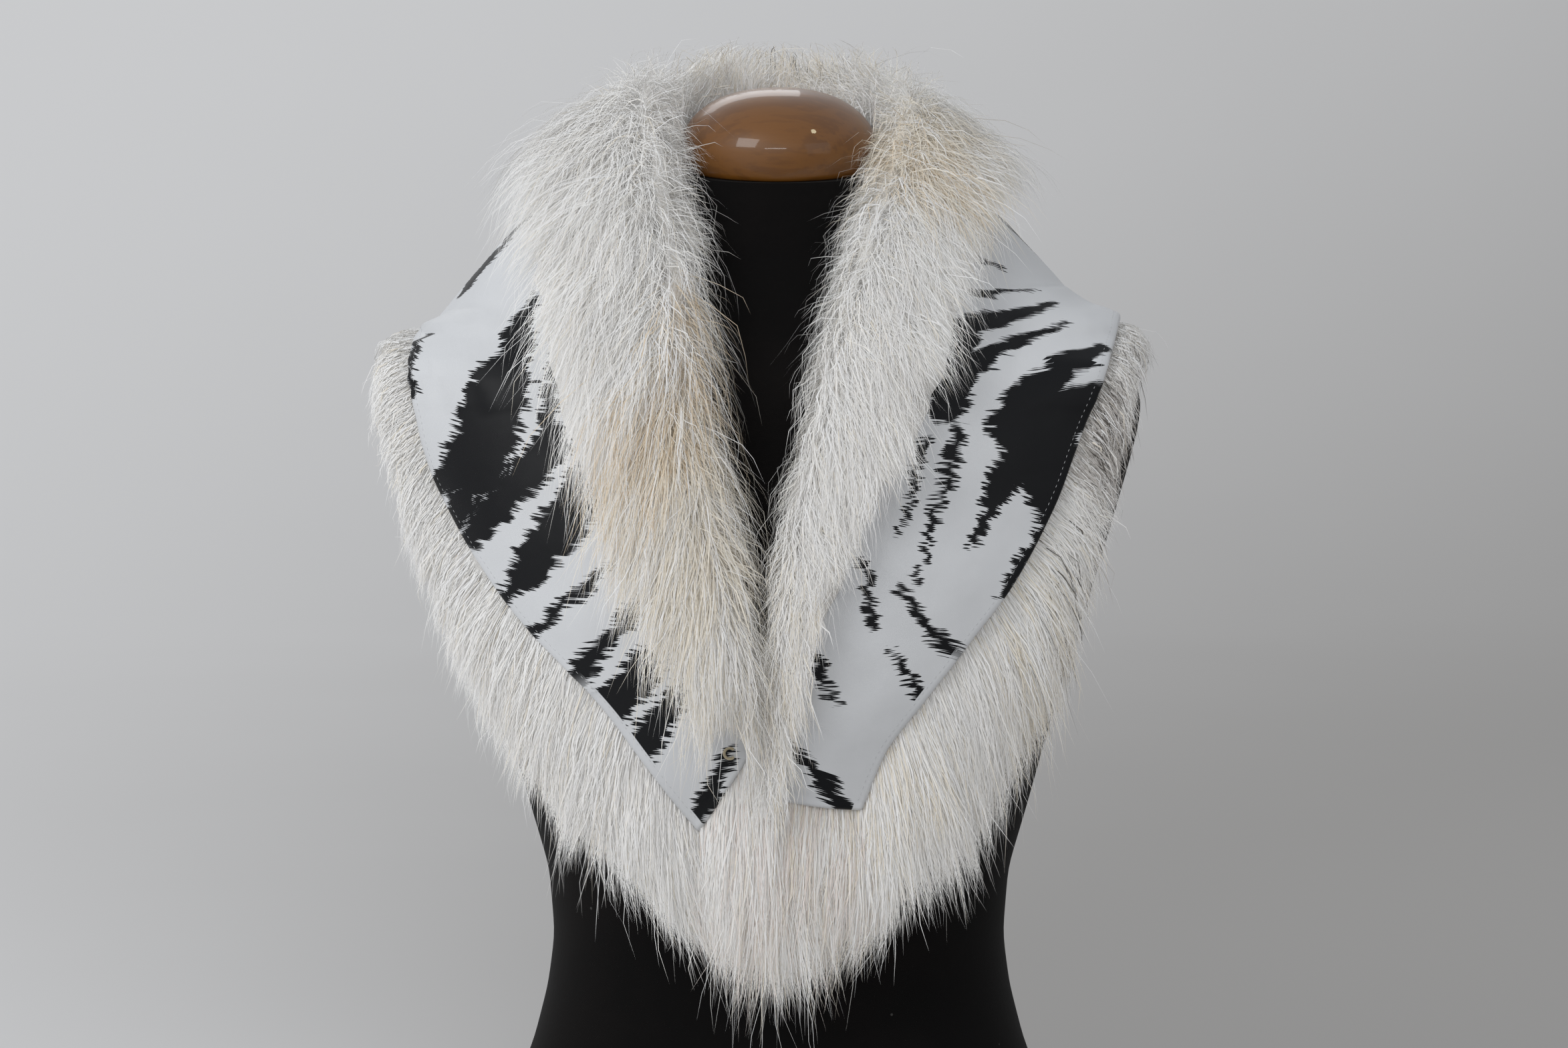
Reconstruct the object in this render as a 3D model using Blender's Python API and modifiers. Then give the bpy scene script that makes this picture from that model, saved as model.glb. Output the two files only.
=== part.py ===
"""Fur collar wrap on a limbless dress form, as separate closed solids in metres, +Z up.

The origin is at the centre of the form's flat base and the front faces -Y. The wrap is two
halves that meet at the centre back. Each half is a strip that runs from its front end (row 0)
over the shoulder to the centre back. Across the strip, a place is a share of its width: 0 at the
neck fold and 1 at the outer edge. The skin lies hair side down and is folded back at the neck
edge, so its section is a J.
"""

import math

import bmesh
import bpy
import numpy as np

MM = 0.001

PELT_THICKNESS = 2.0 * MM
LINING_THICKNESS = 1.0 * MM
SEAM_GAP = 0.3 * MM
HAIR_GAP = 0.4 * MM
UNDER_HAIR = 10.0 * MM
TIP_HAIR = 3.0 * MM
LINING_START = 0.6
FLAP_SHARE = 0.45
STRIP_ROWS = 24
STRIP_LIFT = 16.0 * MM
FRINGE_LIFT = 14.5 * MM
TIP_LIFT = 7.0 * MM
CLEAR_PASSES = 6
RUN_STEPS = 3

CAP_TILT = math.radians(9.0)
CAP_BASE = (0.0, 1.0 * MM, 670.0 * MM)
FORM_POINTS = 48
CAP_STEPS = 40

# Form sections: height, half width, depth to the front, depth to the back, forward tilt in degrees.
FORM_TABLE = (
    (0, 172, 108, 116, 0),
    (6, 176, 112, 120, 0),
    (60, 178, 114, 122, 0),
    (115, 164, 108, 113, 0),
    (165, 143, 101, 103, 0),
    (200, 134, 97, 96, 0),
    (230, 130, 94, 92, 0),
    (270, 133, 98, 90, 0),
    (305, 143, 108, 92, 0),
    (335, 151, 118, 95, 0),
    (367, 160, 127, 98, 0),
    (400, 169, 132, 101, 0),
    (430, 179, 131, 104, 0),
    (463, 189, 123, 107, 0),
    (498, 199, 111, 108, 0),
    (520, 205, 103, 107, 0),
    (540, 208, 96, 104, 0),
    (550, 204, 90, 99, 0),
    (558, 194, 85, 94, 0),
    (568, 174, 79, 88, 0),
    (578, 152, 74, 82, 0),
    (590, 122, 69, 76, 0),
    (602, 93, 65, 70, 1),
    (614, 72, 61, 64, 2),
    (626, 61, 58, 59, 4),
    (640, 56, 56, 55, 6),
    (655, 54, 54, 54, 8),
    (669.6, 53, 53, 54, 9),
)
FORM_POWER = 2.3

# Cap profile from the top down: radius, height over its base.
CAP_PROFILE = (
    (0, 46),
    (12, 45.4),
    (24, 43.4),
    (35, 39.6),
    (44, 34),
    (50.5, 27.5),
    (54.4, 20.5),
    (55.6, 14),
    (55.2, 8),
    (54, 3.5),
    (52.6, 0.8),
    (51.2, 0),
    (0, 0),
)

# One row for each section of a half, from the front end to the centre back. fold, outer and tip
# are the neck fold, the outer edge of the skin and the end of the hair past it. crown is how far
# the strip arches off the form, radius is the fold's, pile is the length of the hair that stands
# off the fold, and reach is the share of the width that the folded-back hair covers.
#  fold                outer               tip              crown radius pile reach
LEFT_TABLE = (
    ((-14, -143, 363), (-44, -128, 315), (-43, -111, 226), 2, 1.5, 3, 0.10),
    ((-22, -150, 392), (-72, -134, 352), (-80, -112, 256), 4, 3.0, 9, 0.32),
    ((-27, -153, 418), (-100, -129, 388), (-121, -92, 296), 6, 4.0, 15, 0.40),
    ((-35, -150, 448), (-133, -114, 420), (-158, -70, 342), 9, 4.0, 18, 0.42),
    ((-43, -141, 483), (-164, -90, 459), (-186, -52, 402), 10, 4.0, 20, 0.42),
    ((-52, -129, 519), (-186, -67, 498), (-207, -46, 452), 10, 4.0, 22, 0.46),
    ((-57, -114, 556), (-196, -56, 536), (-226, -38, 512), 9, 4.0, 22, 0.54),
    ((-62, -88, 606), (-200, -32, 562), (-232, -24, 544), 9, 4.0, 23, 0.56),
    ((-72, -42, 664), (-202, -2, 574), (-234, 6, 556), 10, 4.0, 24, 0.54),
    ((-76, -2, 694), (-194, 36, 578), (-220, 48, 545), 10, 4.0, 24, 0.50),
    ((-66, 42, 705), (-152, 78, 566), (-166, 98, 510), 8, 4.0, 24, 0.48),
    ((-38, 70, 710), (-82, 108, 556), (-88, 122, 490), 6, 4.0, 24, 0.48),
    ((-1.5, 81, 712), (-1.5, 117, 551), (-1.5, 128, 482), 6, 4.0, 24, 0.48),
)
RIGHT_TABLE = (
    ((-3, -141, 334), (44, -132, 327), (46, -111, 226), 2, 1.5, 3, 0.10),
    ((1, -149, 366), (56, -138, 356), (74, -114, 250), 3, 2.0, 4, 0.11),
    ((3, -153, 395), (75, -140, 382), (107, -100, 276), 4, 2.5, 6, 0.14),
    ((6, -155, 424), (101, -134, 416), (137, -88, 318), 6, 3.0, 9, 0.20),
    ((11, -150, 456), (126, -121, 447), (164, -68, 366), 8, 4.0, 12, 0.26),
    ((18, -139, 490), (146, -105, 482), (184, -54, 424), 9, 4.0, 15, 0.32),
    ((27, -128, 524), (162, -91, 519), (194, -52, 480), 9, 4.0, 17, 0.41),
    ((36, -108, 565), (177, -67, 555), (203, -50, 524), 9, 4.0, 19, 0.46),
    ((53, -74, 620), (184, -30, 568), (214, -28, 545), 9, 4.0, 20, 0.44),
    ((70, -20, 672), (186, 14, 572), (214, 24, 546), 10, 4.0, 21, 0.44),
    ((70, 32, 700), (160, 70, 568), (178, 88, 518), 8, 4.0, 22, 0.46),
    ((40, 69, 709), (84, 108, 556), (90, 122, 490), 6, 4.0, 24, 0.48),
    ((1.5, 81, 712), (1.5, 117, 551), (1.5, 128, 482), 6, 4.0, 24, 0.48),
)
# How far along the hair's end the hair under each front end reaches, how far its corner is
# pushed out, and where it reaches below the fold's corner.
END_SPREAD = 0.75
CORNER_PUSH = 0.1
END_TIPS = {"left": (-3, -113, 206), "right": (3, -113, 204)}

# The column of the strip at the fold, and the angles of the round of the fold before it.
FOLD = 6
ARC_ANGLES = (45, 90, 135)
# Share of the pile: two columns under the strip, three round the fold, three on the flap.
PILE_SHARES = (0.35, 0.35, 0.35, 0.4, 0.8, 1.0, 1.0, 0.95)
LYING_SHARES = (0.8, 0.6)
FLAP_EDGE = 1.2 * MM
LYING_GAP = 0.8 * MM

# The covered eye of the fur hook: a C of wire, open towards the strip's end.
EYE_ROW = 0.5
EYE_PLACE = 0.28
EYE_RADIUS = 2.9 * MM
EYE_WIRE = 0.75 * MM
EYE_SWEEP = math.radians(285.0)
EYE_POINTS = 18
EYE_LIFT = 0.35 * MM

COLOURS = {
    "black_jersey": ((0.018, 0.018, 0.021, 1.0), 0.85),
    "varnished_wood": ((0.33, 0.12, 0.035, 1.0), 0.2),
    "skin_side": ((0.72, 0.64, 0.52, 1.0), 0.8),
    "printed_lining": ((0.72, 0.74, 0.76, 1.0), 0.5),
    "white_fur": ((0.86, 0.83, 0.77, 1.0), 0.9),
    "covered_wire": ((0.68, 0.62, 0.48, 1.0), 0.6),
}


def clear_scene():
    """Removes the objects that are already in the scene."""
    for existing in list(bpy.data.objects):
        bpy.data.objects.remove(existing)


def new_material(name, colour, roughness):
    """A Principled material of one colour."""
    material = bpy.data.materials.new(name)
    material.use_nodes = True
    shader = material.node_tree.nodes["Principled BSDF"]
    shader.inputs["Base Color"].default_value = colour
    shader.inputs["Roughness"].default_value = roughness
    shader.inputs["Metallic"].default_value = 0.0
    return material


def add_object(name, mesh, collection, kind):
    """Puts a mesh in the collection under its node's name, with its own material."""
    made = bpy.data.objects.new(name, mesh)
    colour, roughness = COLOURS[kind]
    mesh.materials.append(new_material(f"{name}_{kind}", colour, roughness))
    collection.objects.link(made)
    return made


def mesh_from(name, points, faces):
    """A mesh of these points and faces."""
    mesh = bpy.data.meshes.new(name)
    mesh.from_pydata([tuple(point) for point in points], [], faces)
    mesh.update()
    return mesh


def face_outwards(mesh):
    """Turns the faces of a closed mesh outwards."""
    work = bmesh.new()
    work.from_mesh(mesh)
    bmesh.ops.recalc_face_normals(work, faces=work.faces)
    work.to_mesh(mesh)
    work.free()


def unit(vectors):
    """The vectors at length 1."""
    lengths = np.linalg.norm(vectors, axis=-1, keepdims=True)
    return vectors / np.maximum(lengths, 1e-12)


def square_to_seam(ways):
    """The directions, with the last two sections' kept in the plane of the back seam."""
    ways[-2:] = unit(ways[-1:] * (0, 1, 1))
    return ways


def smooth_rows(table, count):
    """count rows on a Catmull-Rom curve through the rows of a table of numbers."""
    keys = np.array(table, float)
    ends = np.vstack([2 * keys[0] - keys[1], keys, 2 * keys[-1] - keys[-2]])
    rows = []
    for place in np.linspace(0, len(keys) - 1, count):
        start = min(int(place), len(keys) - 2)
        t = place - start
        before, first, second, after = ends[start : start + 4]
        rows.append(
            0.5
            * (
                2 * first
                + (second - before) * t
                + (2 * before - 5 * first + 4 * second - after) * t**2
                + (3 * first - before - 3 * second + after) * t**3
            )
        )
    return np.array(rows)


def vertex_normals(grid, turn):
    """The vertex normals of a grid of points, towards the side that turn says."""
    mesh = surface_mesh("normals", grid, turn)
    found = np.empty(len(mesh.vertices) * 3, np.float32)
    mesh.vertex_normals.foreach_get("vector", found)
    bpy.data.meshes.remove(mesh)
    return found.reshape(grid.shape).astype(float)


def form_place(points):
    """How far points lie outside the form, as a share of its size at their height."""
    table = np.array(FORM_TABLE, float) * MM
    height = points[..., 2]
    half_width, front, back = (np.interp(height, table[:, 0], table[:, k]) for k in (1, 2, 3))
    depth = np.where(points[..., 1] < 0, front, back)
    sides = np.abs(points[..., 0] / half_width) ** FORM_POWER
    sides = sides + np.abs(points[..., 1] / depth) ** FORM_POWER
    return sides ** (1 / FORM_POWER) - 1


def clear_of_form(points, lift):
    """The points, moved straight off the form wherever they are nearer to it than lift."""
    cleared = points.copy()
    step = np.eye(3) * MM
    for _ in range(CLEAR_PASSES):
        place = form_place(cleared)
        slope = [form_place(cleared + way) - form_place(cleared - way) for way in step]
        slope = np.stack(slope, axis=-1) / (2 * MM)
        steepness = np.linalg.norm(slope, axis=-1)
        missing = np.maximum(lift - place / steepness, 0)
        cleared += slope * (missing / steepness)[..., None]
    return cleared


def grid_triangles(rows, columns, start=0):
    """Triangles of a grid of points, every cell cut along the same diagonal."""
    faces = []
    for row in range(rows - 1):
        for column in range(columns - 1):
            a = start + row * columns + column
            b = a + 1
            c = a + columns
            d = c + 1
            faces += [(a, b, d), (a, d, c)]
    return faces


def surface_mesh(name, grid, turn):
    """An open mesh of a grid of points, facing the side that turn says."""
    faces = grid_triangles(*grid.shape[:2])
    if turn > 0:
        faces = [face[::-1] for face in faces]
    return mesh_from(name, grid.reshape(-1, 3), faces)


class Half:
    """One half of the wrap: the skin side of its folded strip, and what lies on it.

    self.skin holds the points of the skin side, a row for each section: from the flap's edge
    round the fold (columns 0 to 5), then from the fold (column FOLD) to the outer edge. self.way
    holds the direction at each point from the skin towards the lining.
    """

    def __init__(self, side, table):
        """Spreads the table's rows evenly and works out the skin side of the strip."""
        flat = [[*fold, *outer, *tip, *rest] for fold, outer, tip, *rest in table]
        rows = smooth_rows(flat, STRIP_ROWS)
        rows = np.vstack([rows, rows[-1]])
        rows[-1, 0:9:3] *= SEAM_GAP / 2 / abs(rows[-1, 0] * MM)
        self.end_tip = np.array(END_TIPS[side]) * MM
        self.fold, self.outer, self.tip = (rows[:, k : k + 3] * MM for k in (0, 3, 6))
        self.crown, self.radius, self.pile = (rows[:, k] * MM for k in (9, 10, 11))
        self.reach = rows[:, 12]
        self.flap = self.reach * FLAP_SHARE
        self.across = unit(self.outer - self.fold)
        along = np.gradient((self.fold + self.outer) / 2, axis=0)
        arch = np.cross(along, self.across)
        off_axis = (self.fold + self.outer) * (1, 1, 0)
        self.turn = 1 if np.sum(off_axis * arch) > 0 else -1
        self.arch = square_to_seam(unit(arch) * self.turn)
        self.skin = self.folded_strip()
        self.way = square_to_seam(vertex_normals(self.skin, self.turn))

    def shares(self):
        """Shares of the width, a row for each section, from the fold to the outer edge."""
        past = [self.reach + (1 - self.reach) * step / RUN_STEPS for step in range(RUN_STEPS + 1)]
        return np.stack([0 * self.flap, self.flap / 2, self.flap, *past], axis=1)

    def folded_strip(self):
        """The J-shaped skin side: the flap, the round of the fold, and the run to the edge."""
        shares = self.shares()
        spread = shares[:, :, None]
        arch = np.sin(np.pi * shares)[:, :, None] * self.crown[:, None, None]
        run = self.fold[:, None] * (1 - spread) + self.outer[:, None] * spread
        run = clear_of_form(run + arch * self.arch[:, None], STRIP_LIFT)
        away = np.cross(np.gradient(run, axis=0), np.gradient(run, axis=1))
        away = square_to_seam(unit(away) * self.turn)
        radius = self.radius[:, None]
        flap = [run[:, column] + away[:, column] * 2 * radius for column in (2, 1, 0)]
        centre = run[:, 0] + away[:, 0] * radius
        arc = []
        for angle in ARC_ANGLES:
            turn = math.radians(angle)
            spoke = away[:, 0] * math.cos(turn) - self.across * math.sin(turn)
            arc.append(centre + spoke * radius)
        return np.stack([*flap, *arc, *run.swapaxes(0, 1)], axis=1)

    def lining(self):
        """The lining's lower surface, from inside the fold to the outer edge."""
        grid = (self.skin + self.way * SEAM_GAP)[:, FOLD:]
        start = grid[:, 0] * (1 - LINING_START) + grid[:, 1] * LINING_START
        return np.concatenate([start[:, None], grid[:, 1:]], axis=1)

    def roll_hair(self):
        """Inner and outer surfaces of the hair on the folded-back neck edge."""
        low = PELT_THICKNESS + HAIR_GAP
        pile = self.pile[:, None]
        inner, outer = [], []
        for column, share in zip(range(FOLD + 1, -1, -1), PILE_SHARES, strict=True):
            near = self.skin[:, column] - self.way[:, column] * low
            inner.append(near)
            outer.append(near - self.way[:, column] * pile * share)
        edge = unit(self.skin[:, 0] - self.skin[:, 1]) * FLAP_EDGE
        inner.append(inner[-1] + edge)
        outer.append(outer[-1] + edge)
        flap, reach = self.skin[:, FOLD + 2], self.skin[:, FOLD + 3]
        room = np.linalg.norm(reach - flap, axis=1)
        first = np.minimum(FLAP_EDGE * 1.3 / room, 0.6)[:, None]
        lying = SEAM_GAP + LINING_THICKNESS + LYING_GAP
        rise = 2 * self.radius[:, None] + low
        for place, share in zip((first, (1 + first) / 2), LYING_SHARES, strict=True):
            way = self.way[:, FOLD + 2] * (1 - place) + self.way[:, FOLD + 3] * place
            point = flap * (1 - place) + reach * place
            inner.append(point + way * lying)
            outer.append(point + way * (rise + pile * share))
        inner.append(reach + self.way[:, FOLD + 3] * lying)
        outer.append(reach + self.way[:, FOLD + 3] * (lying + TIP_HAIR))
        return np.stack(inner[::-1], axis=1), np.stack(outer[::-1], axis=1)

    def hem_hair(self):
        """Upper and lower surfaces of the hair under the strip and of the fringe past its edges."""
        points, away = self.skin[:, FOLD + 2 :], self.way[:, FOLD + 2 :]
        edge = points[:, -1:]
        tip = self.tip[:, None]
        run = points.shape[1]
        points = np.concatenate([points, (edge + tip) / 2, tip], axis=1)
        away = np.concatenate([away, away[:, -1:], away[:, -1:]], axis=1)
        shares = np.linspace(0, END_SPREAD, run)[:, None]
        hung = self.end_tip * (1 - shares) + self.tip[0] * shares
        corner = (hung[-1] + self.tip[0]) / 2
        corner = corner + (corner - edge[0, 0]) * CORNER_PUSH
        half_hung = (hung + points[0, :run]) / 2
        lowest = [*hung, (hung[-1] + corner) / 2, corner]
        middle = [*half_hung, (edge[0, 0] + corner) / 2, (self.tip[0] + corner) / 2]
        points = np.concatenate([[lowest, middle], points], axis=0)
        away = np.concatenate([away[:1], away[:1], away], axis=0)
        lifts = np.zeros(points.shape[:2])
        up = np.full(points.shape[:2], -(PELT_THICKNESS + HAIR_GAP))
        down = up - UNDER_HAIR
        for rows, column in ((slice(None), run), (slice(1, 2), slice(None))):
            up[rows, column] = -1.0 * MM
            down[rows, column] = -9.0 * MM
            lifts[rows, column] = FRINGE_LIFT
        for rows, column in ((slice(None), run + 1), (slice(0, 1), slice(None))):
            up[rows, column] = 0.5 * MM
            down[rows, column] = 0.5 * MM - TIP_HAIR
            lifts[rows, column] = TIP_LIFT
        points = clear_of_form(points, lifts)
        return points + away * up[:, :, None], points + away * down[:, :, None]


def build_wall(name, grid, turn, thickness, offset, collection, kind):
    """An open surface with a Solidify wall on one side of it."""
    made = add_object(name, surface_mesh(name, grid, turn), collection, kind)
    wall = made.modifiers.new("wall", "SOLIDIFY")
    wall.thickness = thickness
    wall.offset = offset
    return made


def build_slab(name, inner, outer, collection, kind):
    """A closed solid between two surfaces whose points answer to each other."""
    rows, columns = inner.shape[:2]
    count = rows * columns
    faces = grid_triangles(rows, columns)
    faces += [face[::-1] for face in grid_triangles(rows, columns, count)]
    rim = [column for column in range(columns)]
    rim += [row * columns + columns - 1 for row in range(1, rows)]
    rim += [count - 1 - column for column in range(1, columns)]
    rim += [row * columns for row in range(rows - 2, 0, -1)]
    for index, point in enumerate(rim):
        after = rim[(index + 1) % len(rim)]
        faces += [(point, point + count, after + count), (point, after + count, after)]
    points = np.vstack([inner.reshape(-1, 3), outer.reshape(-1, 3)])
    mesh = mesh_from(name, points, faces)
    face_outwards(mesh)
    return add_object(name, mesh, collection, kind)


def build_form(collection):
    """The torso and neck: rings of a rounded-square section, from the base to under the cap."""
    turns = np.arange(FORM_POINTS) * 2 * math.pi / FORM_POINTS
    bend = 2 / FORM_POWER
    sides = np.sign(np.cos(turns)) * np.abs(np.cos(turns)) ** bend
    depths = np.sign(np.sin(turns)) * np.abs(np.sin(turns)) ** bend
    points = []
    for height, half_width, front, back, tilt in FORM_TABLE:
        depth = np.where(depths < 0, front, back) * depths
        rise = height + depth * math.tan(math.radians(tilt))
        points += list(np.stack([sides * half_width, depth, rise], axis=1) * MM)
    faces = []
    for row in range(len(FORM_TABLE) - 1):
        for step in range(FORM_POINTS):
            after = (step + 1) % FORM_POINTS
            low, high = row * FORM_POINTS, (row + 1) * FORM_POINTS
            faces.append((low + step, low + after, high + after, high + step))
    faces.append(tuple(range(FORM_POINTS))[::-1])
    faces.append(tuple(range(len(points) - FORM_POINTS, len(points))))
    mesh = mesh_from("form_torso", points, faces)
    face_outwards(mesh)
    made = add_object("form_torso", mesh, collection, "black_jersey")
    mesh.shade_smooth()
    return made


def build_cap(collection):
    """The neck cap: a turned dome, tilted forward with the top of the neck."""
    points = [(radius * MM, 0.0, height * MM) for radius, height in CAP_PROFILE]
    mesh = bpy.data.meshes.new("form_cap")
    mesh.from_pydata(points, [(i, i + 1) for i in range(len(points) - 1)], [])
    made = add_object("form_cap", mesh, collection, "varnished_wood")
    turned = made.modifiers.new("turned", "SCREW")
    turned.steps = CAP_STEPS
    turned.render_steps = CAP_STEPS
    turned.use_merge_vertices = True
    turned.merge_threshold = 0.00001
    made.location = CAP_BASE
    made.rotation_euler = (CAP_TILT, 0.0, 0.0)
    return made


def build_eye(half, collection):
    """The covered eye at the end of one front: a C of round wire lying on the lining."""
    shares = half.shares()
    ends = [half.skin[row, FOLD:] for row in (0, 1)]
    found = [
        np.array([np.interp(EYE_PLACE, shares[row], ends[row][:, axis]) for axis in range(3)])
        for row in (0, 1)
    ]
    up = unit(half.way[0, FOLD + 3])
    along = unit(found[1] - found[0])
    across = np.cross(up, along)
    lift = SEAM_GAP + LINING_THICKNESS + EYE_LIFT + EYE_WIRE
    centre = found[0] + (found[1] - found[0]) * EYE_ROW + up * lift
    curve = bpy.data.curves.new("hook_eye", "CURVE")
    curve.dimensions = "3D"
    curve.bevel_depth = EYE_WIRE
    curve.bevel_resolution = 2
    curve.use_fill_caps = True
    line = curve.splines.new("POLY")
    line.points.add(EYE_POINTS - 1)
    for index in range(EYE_POINTS):
        angle = -math.pi + (2 * math.pi - EYE_SWEEP) / 2 + EYE_SWEEP * index / (EYE_POINTS - 1)
        place = centre + EYE_RADIUS * (math.cos(angle) * along + math.sin(angle) * across)
        line.points[index].co = (*place, 1.0)
    made = bpy.data.objects.new("hook_eye", curve)
    colour, roughness = COLOURS["covered_wire"]
    curve.materials.append(new_material("hook_eye_covered_wire", colour, roughness))
    collection.objects.link(made)
    return made


def build_half(side, table, collection):
    """The skin, the lining and the hair of one half."""
    half = Half(side, table)
    turn = half.turn
    build_wall(f"pelt_{side}", half.skin, turn, PELT_THICKNESS, -1, collection, "skin_side")
    build_wall(
        f"lining_{side}", half.lining(), turn, LINING_THICKNESS, 1, collection, "printed_lining"
    )
    build_slab(f"roll_fur_{side}", *half.roll_hair(), collection, "white_fur")
    build_slab(f"hem_fur_{side}", *half.hem_hair(), collection, "white_fur")
    return half


def main():
    """Builds the form, the two halves of the wrap and the eye of its fur hook."""
    clear_scene()
    collection = bpy.data.collections.new("fur_collar_wrap")
    bpy.context.scene.collection.children.link(collection)
    build_form(collection)
    build_cap(collection)
    left = build_half("left", LEFT_TABLE, collection)
    build_half("right", RIGHT_TABLE, collection)
    build_eye(left, collection)


main()
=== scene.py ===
"""A fur collar wrap laid round a limbless dress form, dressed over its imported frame."""

from __future__ import annotations

import logging
import math
from dataclasses import dataclass, field
from enum import Enum
from typing import Any

import bpy
import numpy as np
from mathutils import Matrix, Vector, noise
from mathutils.bvhtree import BVHTree
from mathutils.kdtree import KDTree


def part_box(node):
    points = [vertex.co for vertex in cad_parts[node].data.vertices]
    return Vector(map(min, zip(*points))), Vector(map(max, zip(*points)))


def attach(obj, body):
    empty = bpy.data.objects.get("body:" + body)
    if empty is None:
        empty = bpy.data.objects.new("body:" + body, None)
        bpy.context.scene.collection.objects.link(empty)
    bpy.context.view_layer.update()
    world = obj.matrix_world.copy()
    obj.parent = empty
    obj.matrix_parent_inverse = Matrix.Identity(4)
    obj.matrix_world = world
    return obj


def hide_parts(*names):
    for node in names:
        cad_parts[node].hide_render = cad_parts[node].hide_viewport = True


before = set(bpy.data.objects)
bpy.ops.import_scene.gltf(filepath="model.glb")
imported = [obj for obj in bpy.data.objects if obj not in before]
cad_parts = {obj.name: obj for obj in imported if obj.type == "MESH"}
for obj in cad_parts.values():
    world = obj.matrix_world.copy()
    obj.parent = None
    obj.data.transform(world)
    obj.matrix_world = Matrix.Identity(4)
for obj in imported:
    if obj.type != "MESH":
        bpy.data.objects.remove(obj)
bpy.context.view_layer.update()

LOG = logging.getLogger("collar")
MM = 0.001
DOWN = np.array([0.0, 0.0, -1.0])
Socket = bpy.types.NodeSocket
Object = bpy.types.Object
Material = bpy.types.Material

# Height, half width, front depth, back depth (mm) and tilt (degrees) of the form.
FORM_TABLE = (
    (0, 172, 108, 116, 0), (6, 176, 112, 120, 0), (60, 178, 114, 122, 0),
    (115, 164, 108, 113, 0), (165, 143, 101, 103, 0), (200, 134, 97, 96, 0),
    (230, 130, 94, 92, 0), (270, 133, 98, 90, 0), (305, 143, 108, 92, 0),
    (335, 151, 118, 95, 0), (367, 160, 127, 98, 0), (400, 169, 132, 101, 0),
    (430, 179, 131, 104, 0), (463, 189, 123, 107, 0), (498, 199, 111, 108, 0),
    (520, 205, 103, 107, 0), (540, 208, 96, 104, 0), (550, 204, 90, 99, 0),
    (558, 194, 85, 94, 0), (568, 174, 79, 88, 0), (578, 152, 74, 82, 0),
    (590, 122, 69, 76, 0), (602, 93, 65, 70, 1), (614, 72, 61, 64, 2),
    (626, 61, 58, 59, 4), (640, 56, 56, 55, 6), (655, 54, 54, 54, 8),
    (669.6, 53, 53, 54, 9),
)
# Radius and height (mm) round the neck cap, from its foot to its crown.
CAP_PROFILE = (
    (51.2, 0), (52.6, 0.8), (54, 3.5), (55.2, 8), (55.6, 14), (54.4, 20.5),
    (50.5, 27.5), (44, 34), (35, 39.6), (24, 43.4), (12, 45.4), (0, 46),
)
# Fold, outer edge and hair tip (mm), then crown, fold radius, pile and reach.
LEFT_TABLE = (
    (-14, -143, 363, -44, -128, 315, -43, -111, 226, 2, 1.5, 3, 0.10),
    (-22, -150, 392, -72, -134, 352, -80, -112, 256, 4, 3, 9, 0.32),
    (-27, -153, 418, -100, -129, 388, -121, -92, 296, 6, 4, 15, 0.40),
    (-35, -150, 448, -133, -114, 420, -158, -70, 342, 9, 4, 18, 0.42),
    (-43, -141, 483, -164, -90, 459, -186, -52, 402, 10, 4, 20, 0.42),
    (-52, -129, 519, -186, -67, 498, -207, -46, 452, 10, 4, 22, 0.46),
    (-57, -114, 556, -196, -56, 536, -226, -38, 512, 9, 4, 22, 0.54),
    (-62, -88, 606, -200, -32, 562, -232, -24, 544, 9, 4, 23, 0.56),
    (-72, -42, 664, -202, -2, 574, -234, 6, 556, 10, 4, 24, 0.54),
    (-76, -2, 694, -194, 36, 578, -220, 48, 545, 10, 4, 24, 0.50),
    (-66, 42, 705, -152, 78, 566, -166, 98, 510, 8, 4, 24, 0.48),
    (-38, 70, 710, -82, 108, 556, -88, 122, 490, 6, 4, 24, 0.48),
    (-1.5, 81, 712, -1.5, 117, 551, -1.5, 128, 482, 6, 4, 24, 0.48),
)
RIGHT_TABLE = (
    (-3, -141, 334, 44, -132, 327, 46, -111, 226, 2, 1.5, 3, 0.10),
    (1, -149, 366, 56, -138, 356, 74, -114, 250, 3, 2, 4, 0.11),
    (3, -153, 395, 75, -140, 382, 107, -100, 276, 4, 2.5, 6, 0.14),
    (6, -155, 424, 101, -134, 416, 137, -88, 318, 6, 3, 9, 0.20),
    (11, -150, 456, 126, -121, 447, 164, -68, 366, 8, 4, 12, 0.26),
    (18, -139, 490, 146, -105, 482, 184, -54, 424, 9, 4, 15, 0.32),
    (27, -128, 524, 162, -91, 519, 194, -52, 480, 9, 4, 17, 0.41),
    (36, -108, 565, 177, -67, 555, 203, -50, 524, 9, 4, 19, 0.46),
    (53, -74, 620, 184, -30, 568, 214, -28, 545, 9, 4, 20, 0.44),
    (70, -20, 672, 186, 14, 572, 214, 24, 546, 10, 4, 21, 0.44),
    (70, 32, 700, 160, 70, 568, 178, 88, 518, 8, 4, 22, 0.46),
    (40, 69, 709, 84, 108, 556, 90, 122, 490, 6, 4, 24, 0.48),
    (1.5, 81, 712, 1.5, 117, 551, 1.5, 128, 482, 6, 4, 24, 0.48),
)


class Side(Enum):
    """The wearer-facing halves of the wrap, as seen from the front."""

    LEFT = "left"
    RIGHT = "right"


class Shade(Enum):
    """The colours that single hairs come in, by their place on the hair ramp."""

    WHITE = 0
    IVORY = 1
    CREAM = 2
    TAN = 3
    BLUSH = 4
    # GREY and DARK hairs are put only where they paint shade.
    GREY = 5
    DARK = 6
    BRIGHT = 7


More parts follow.
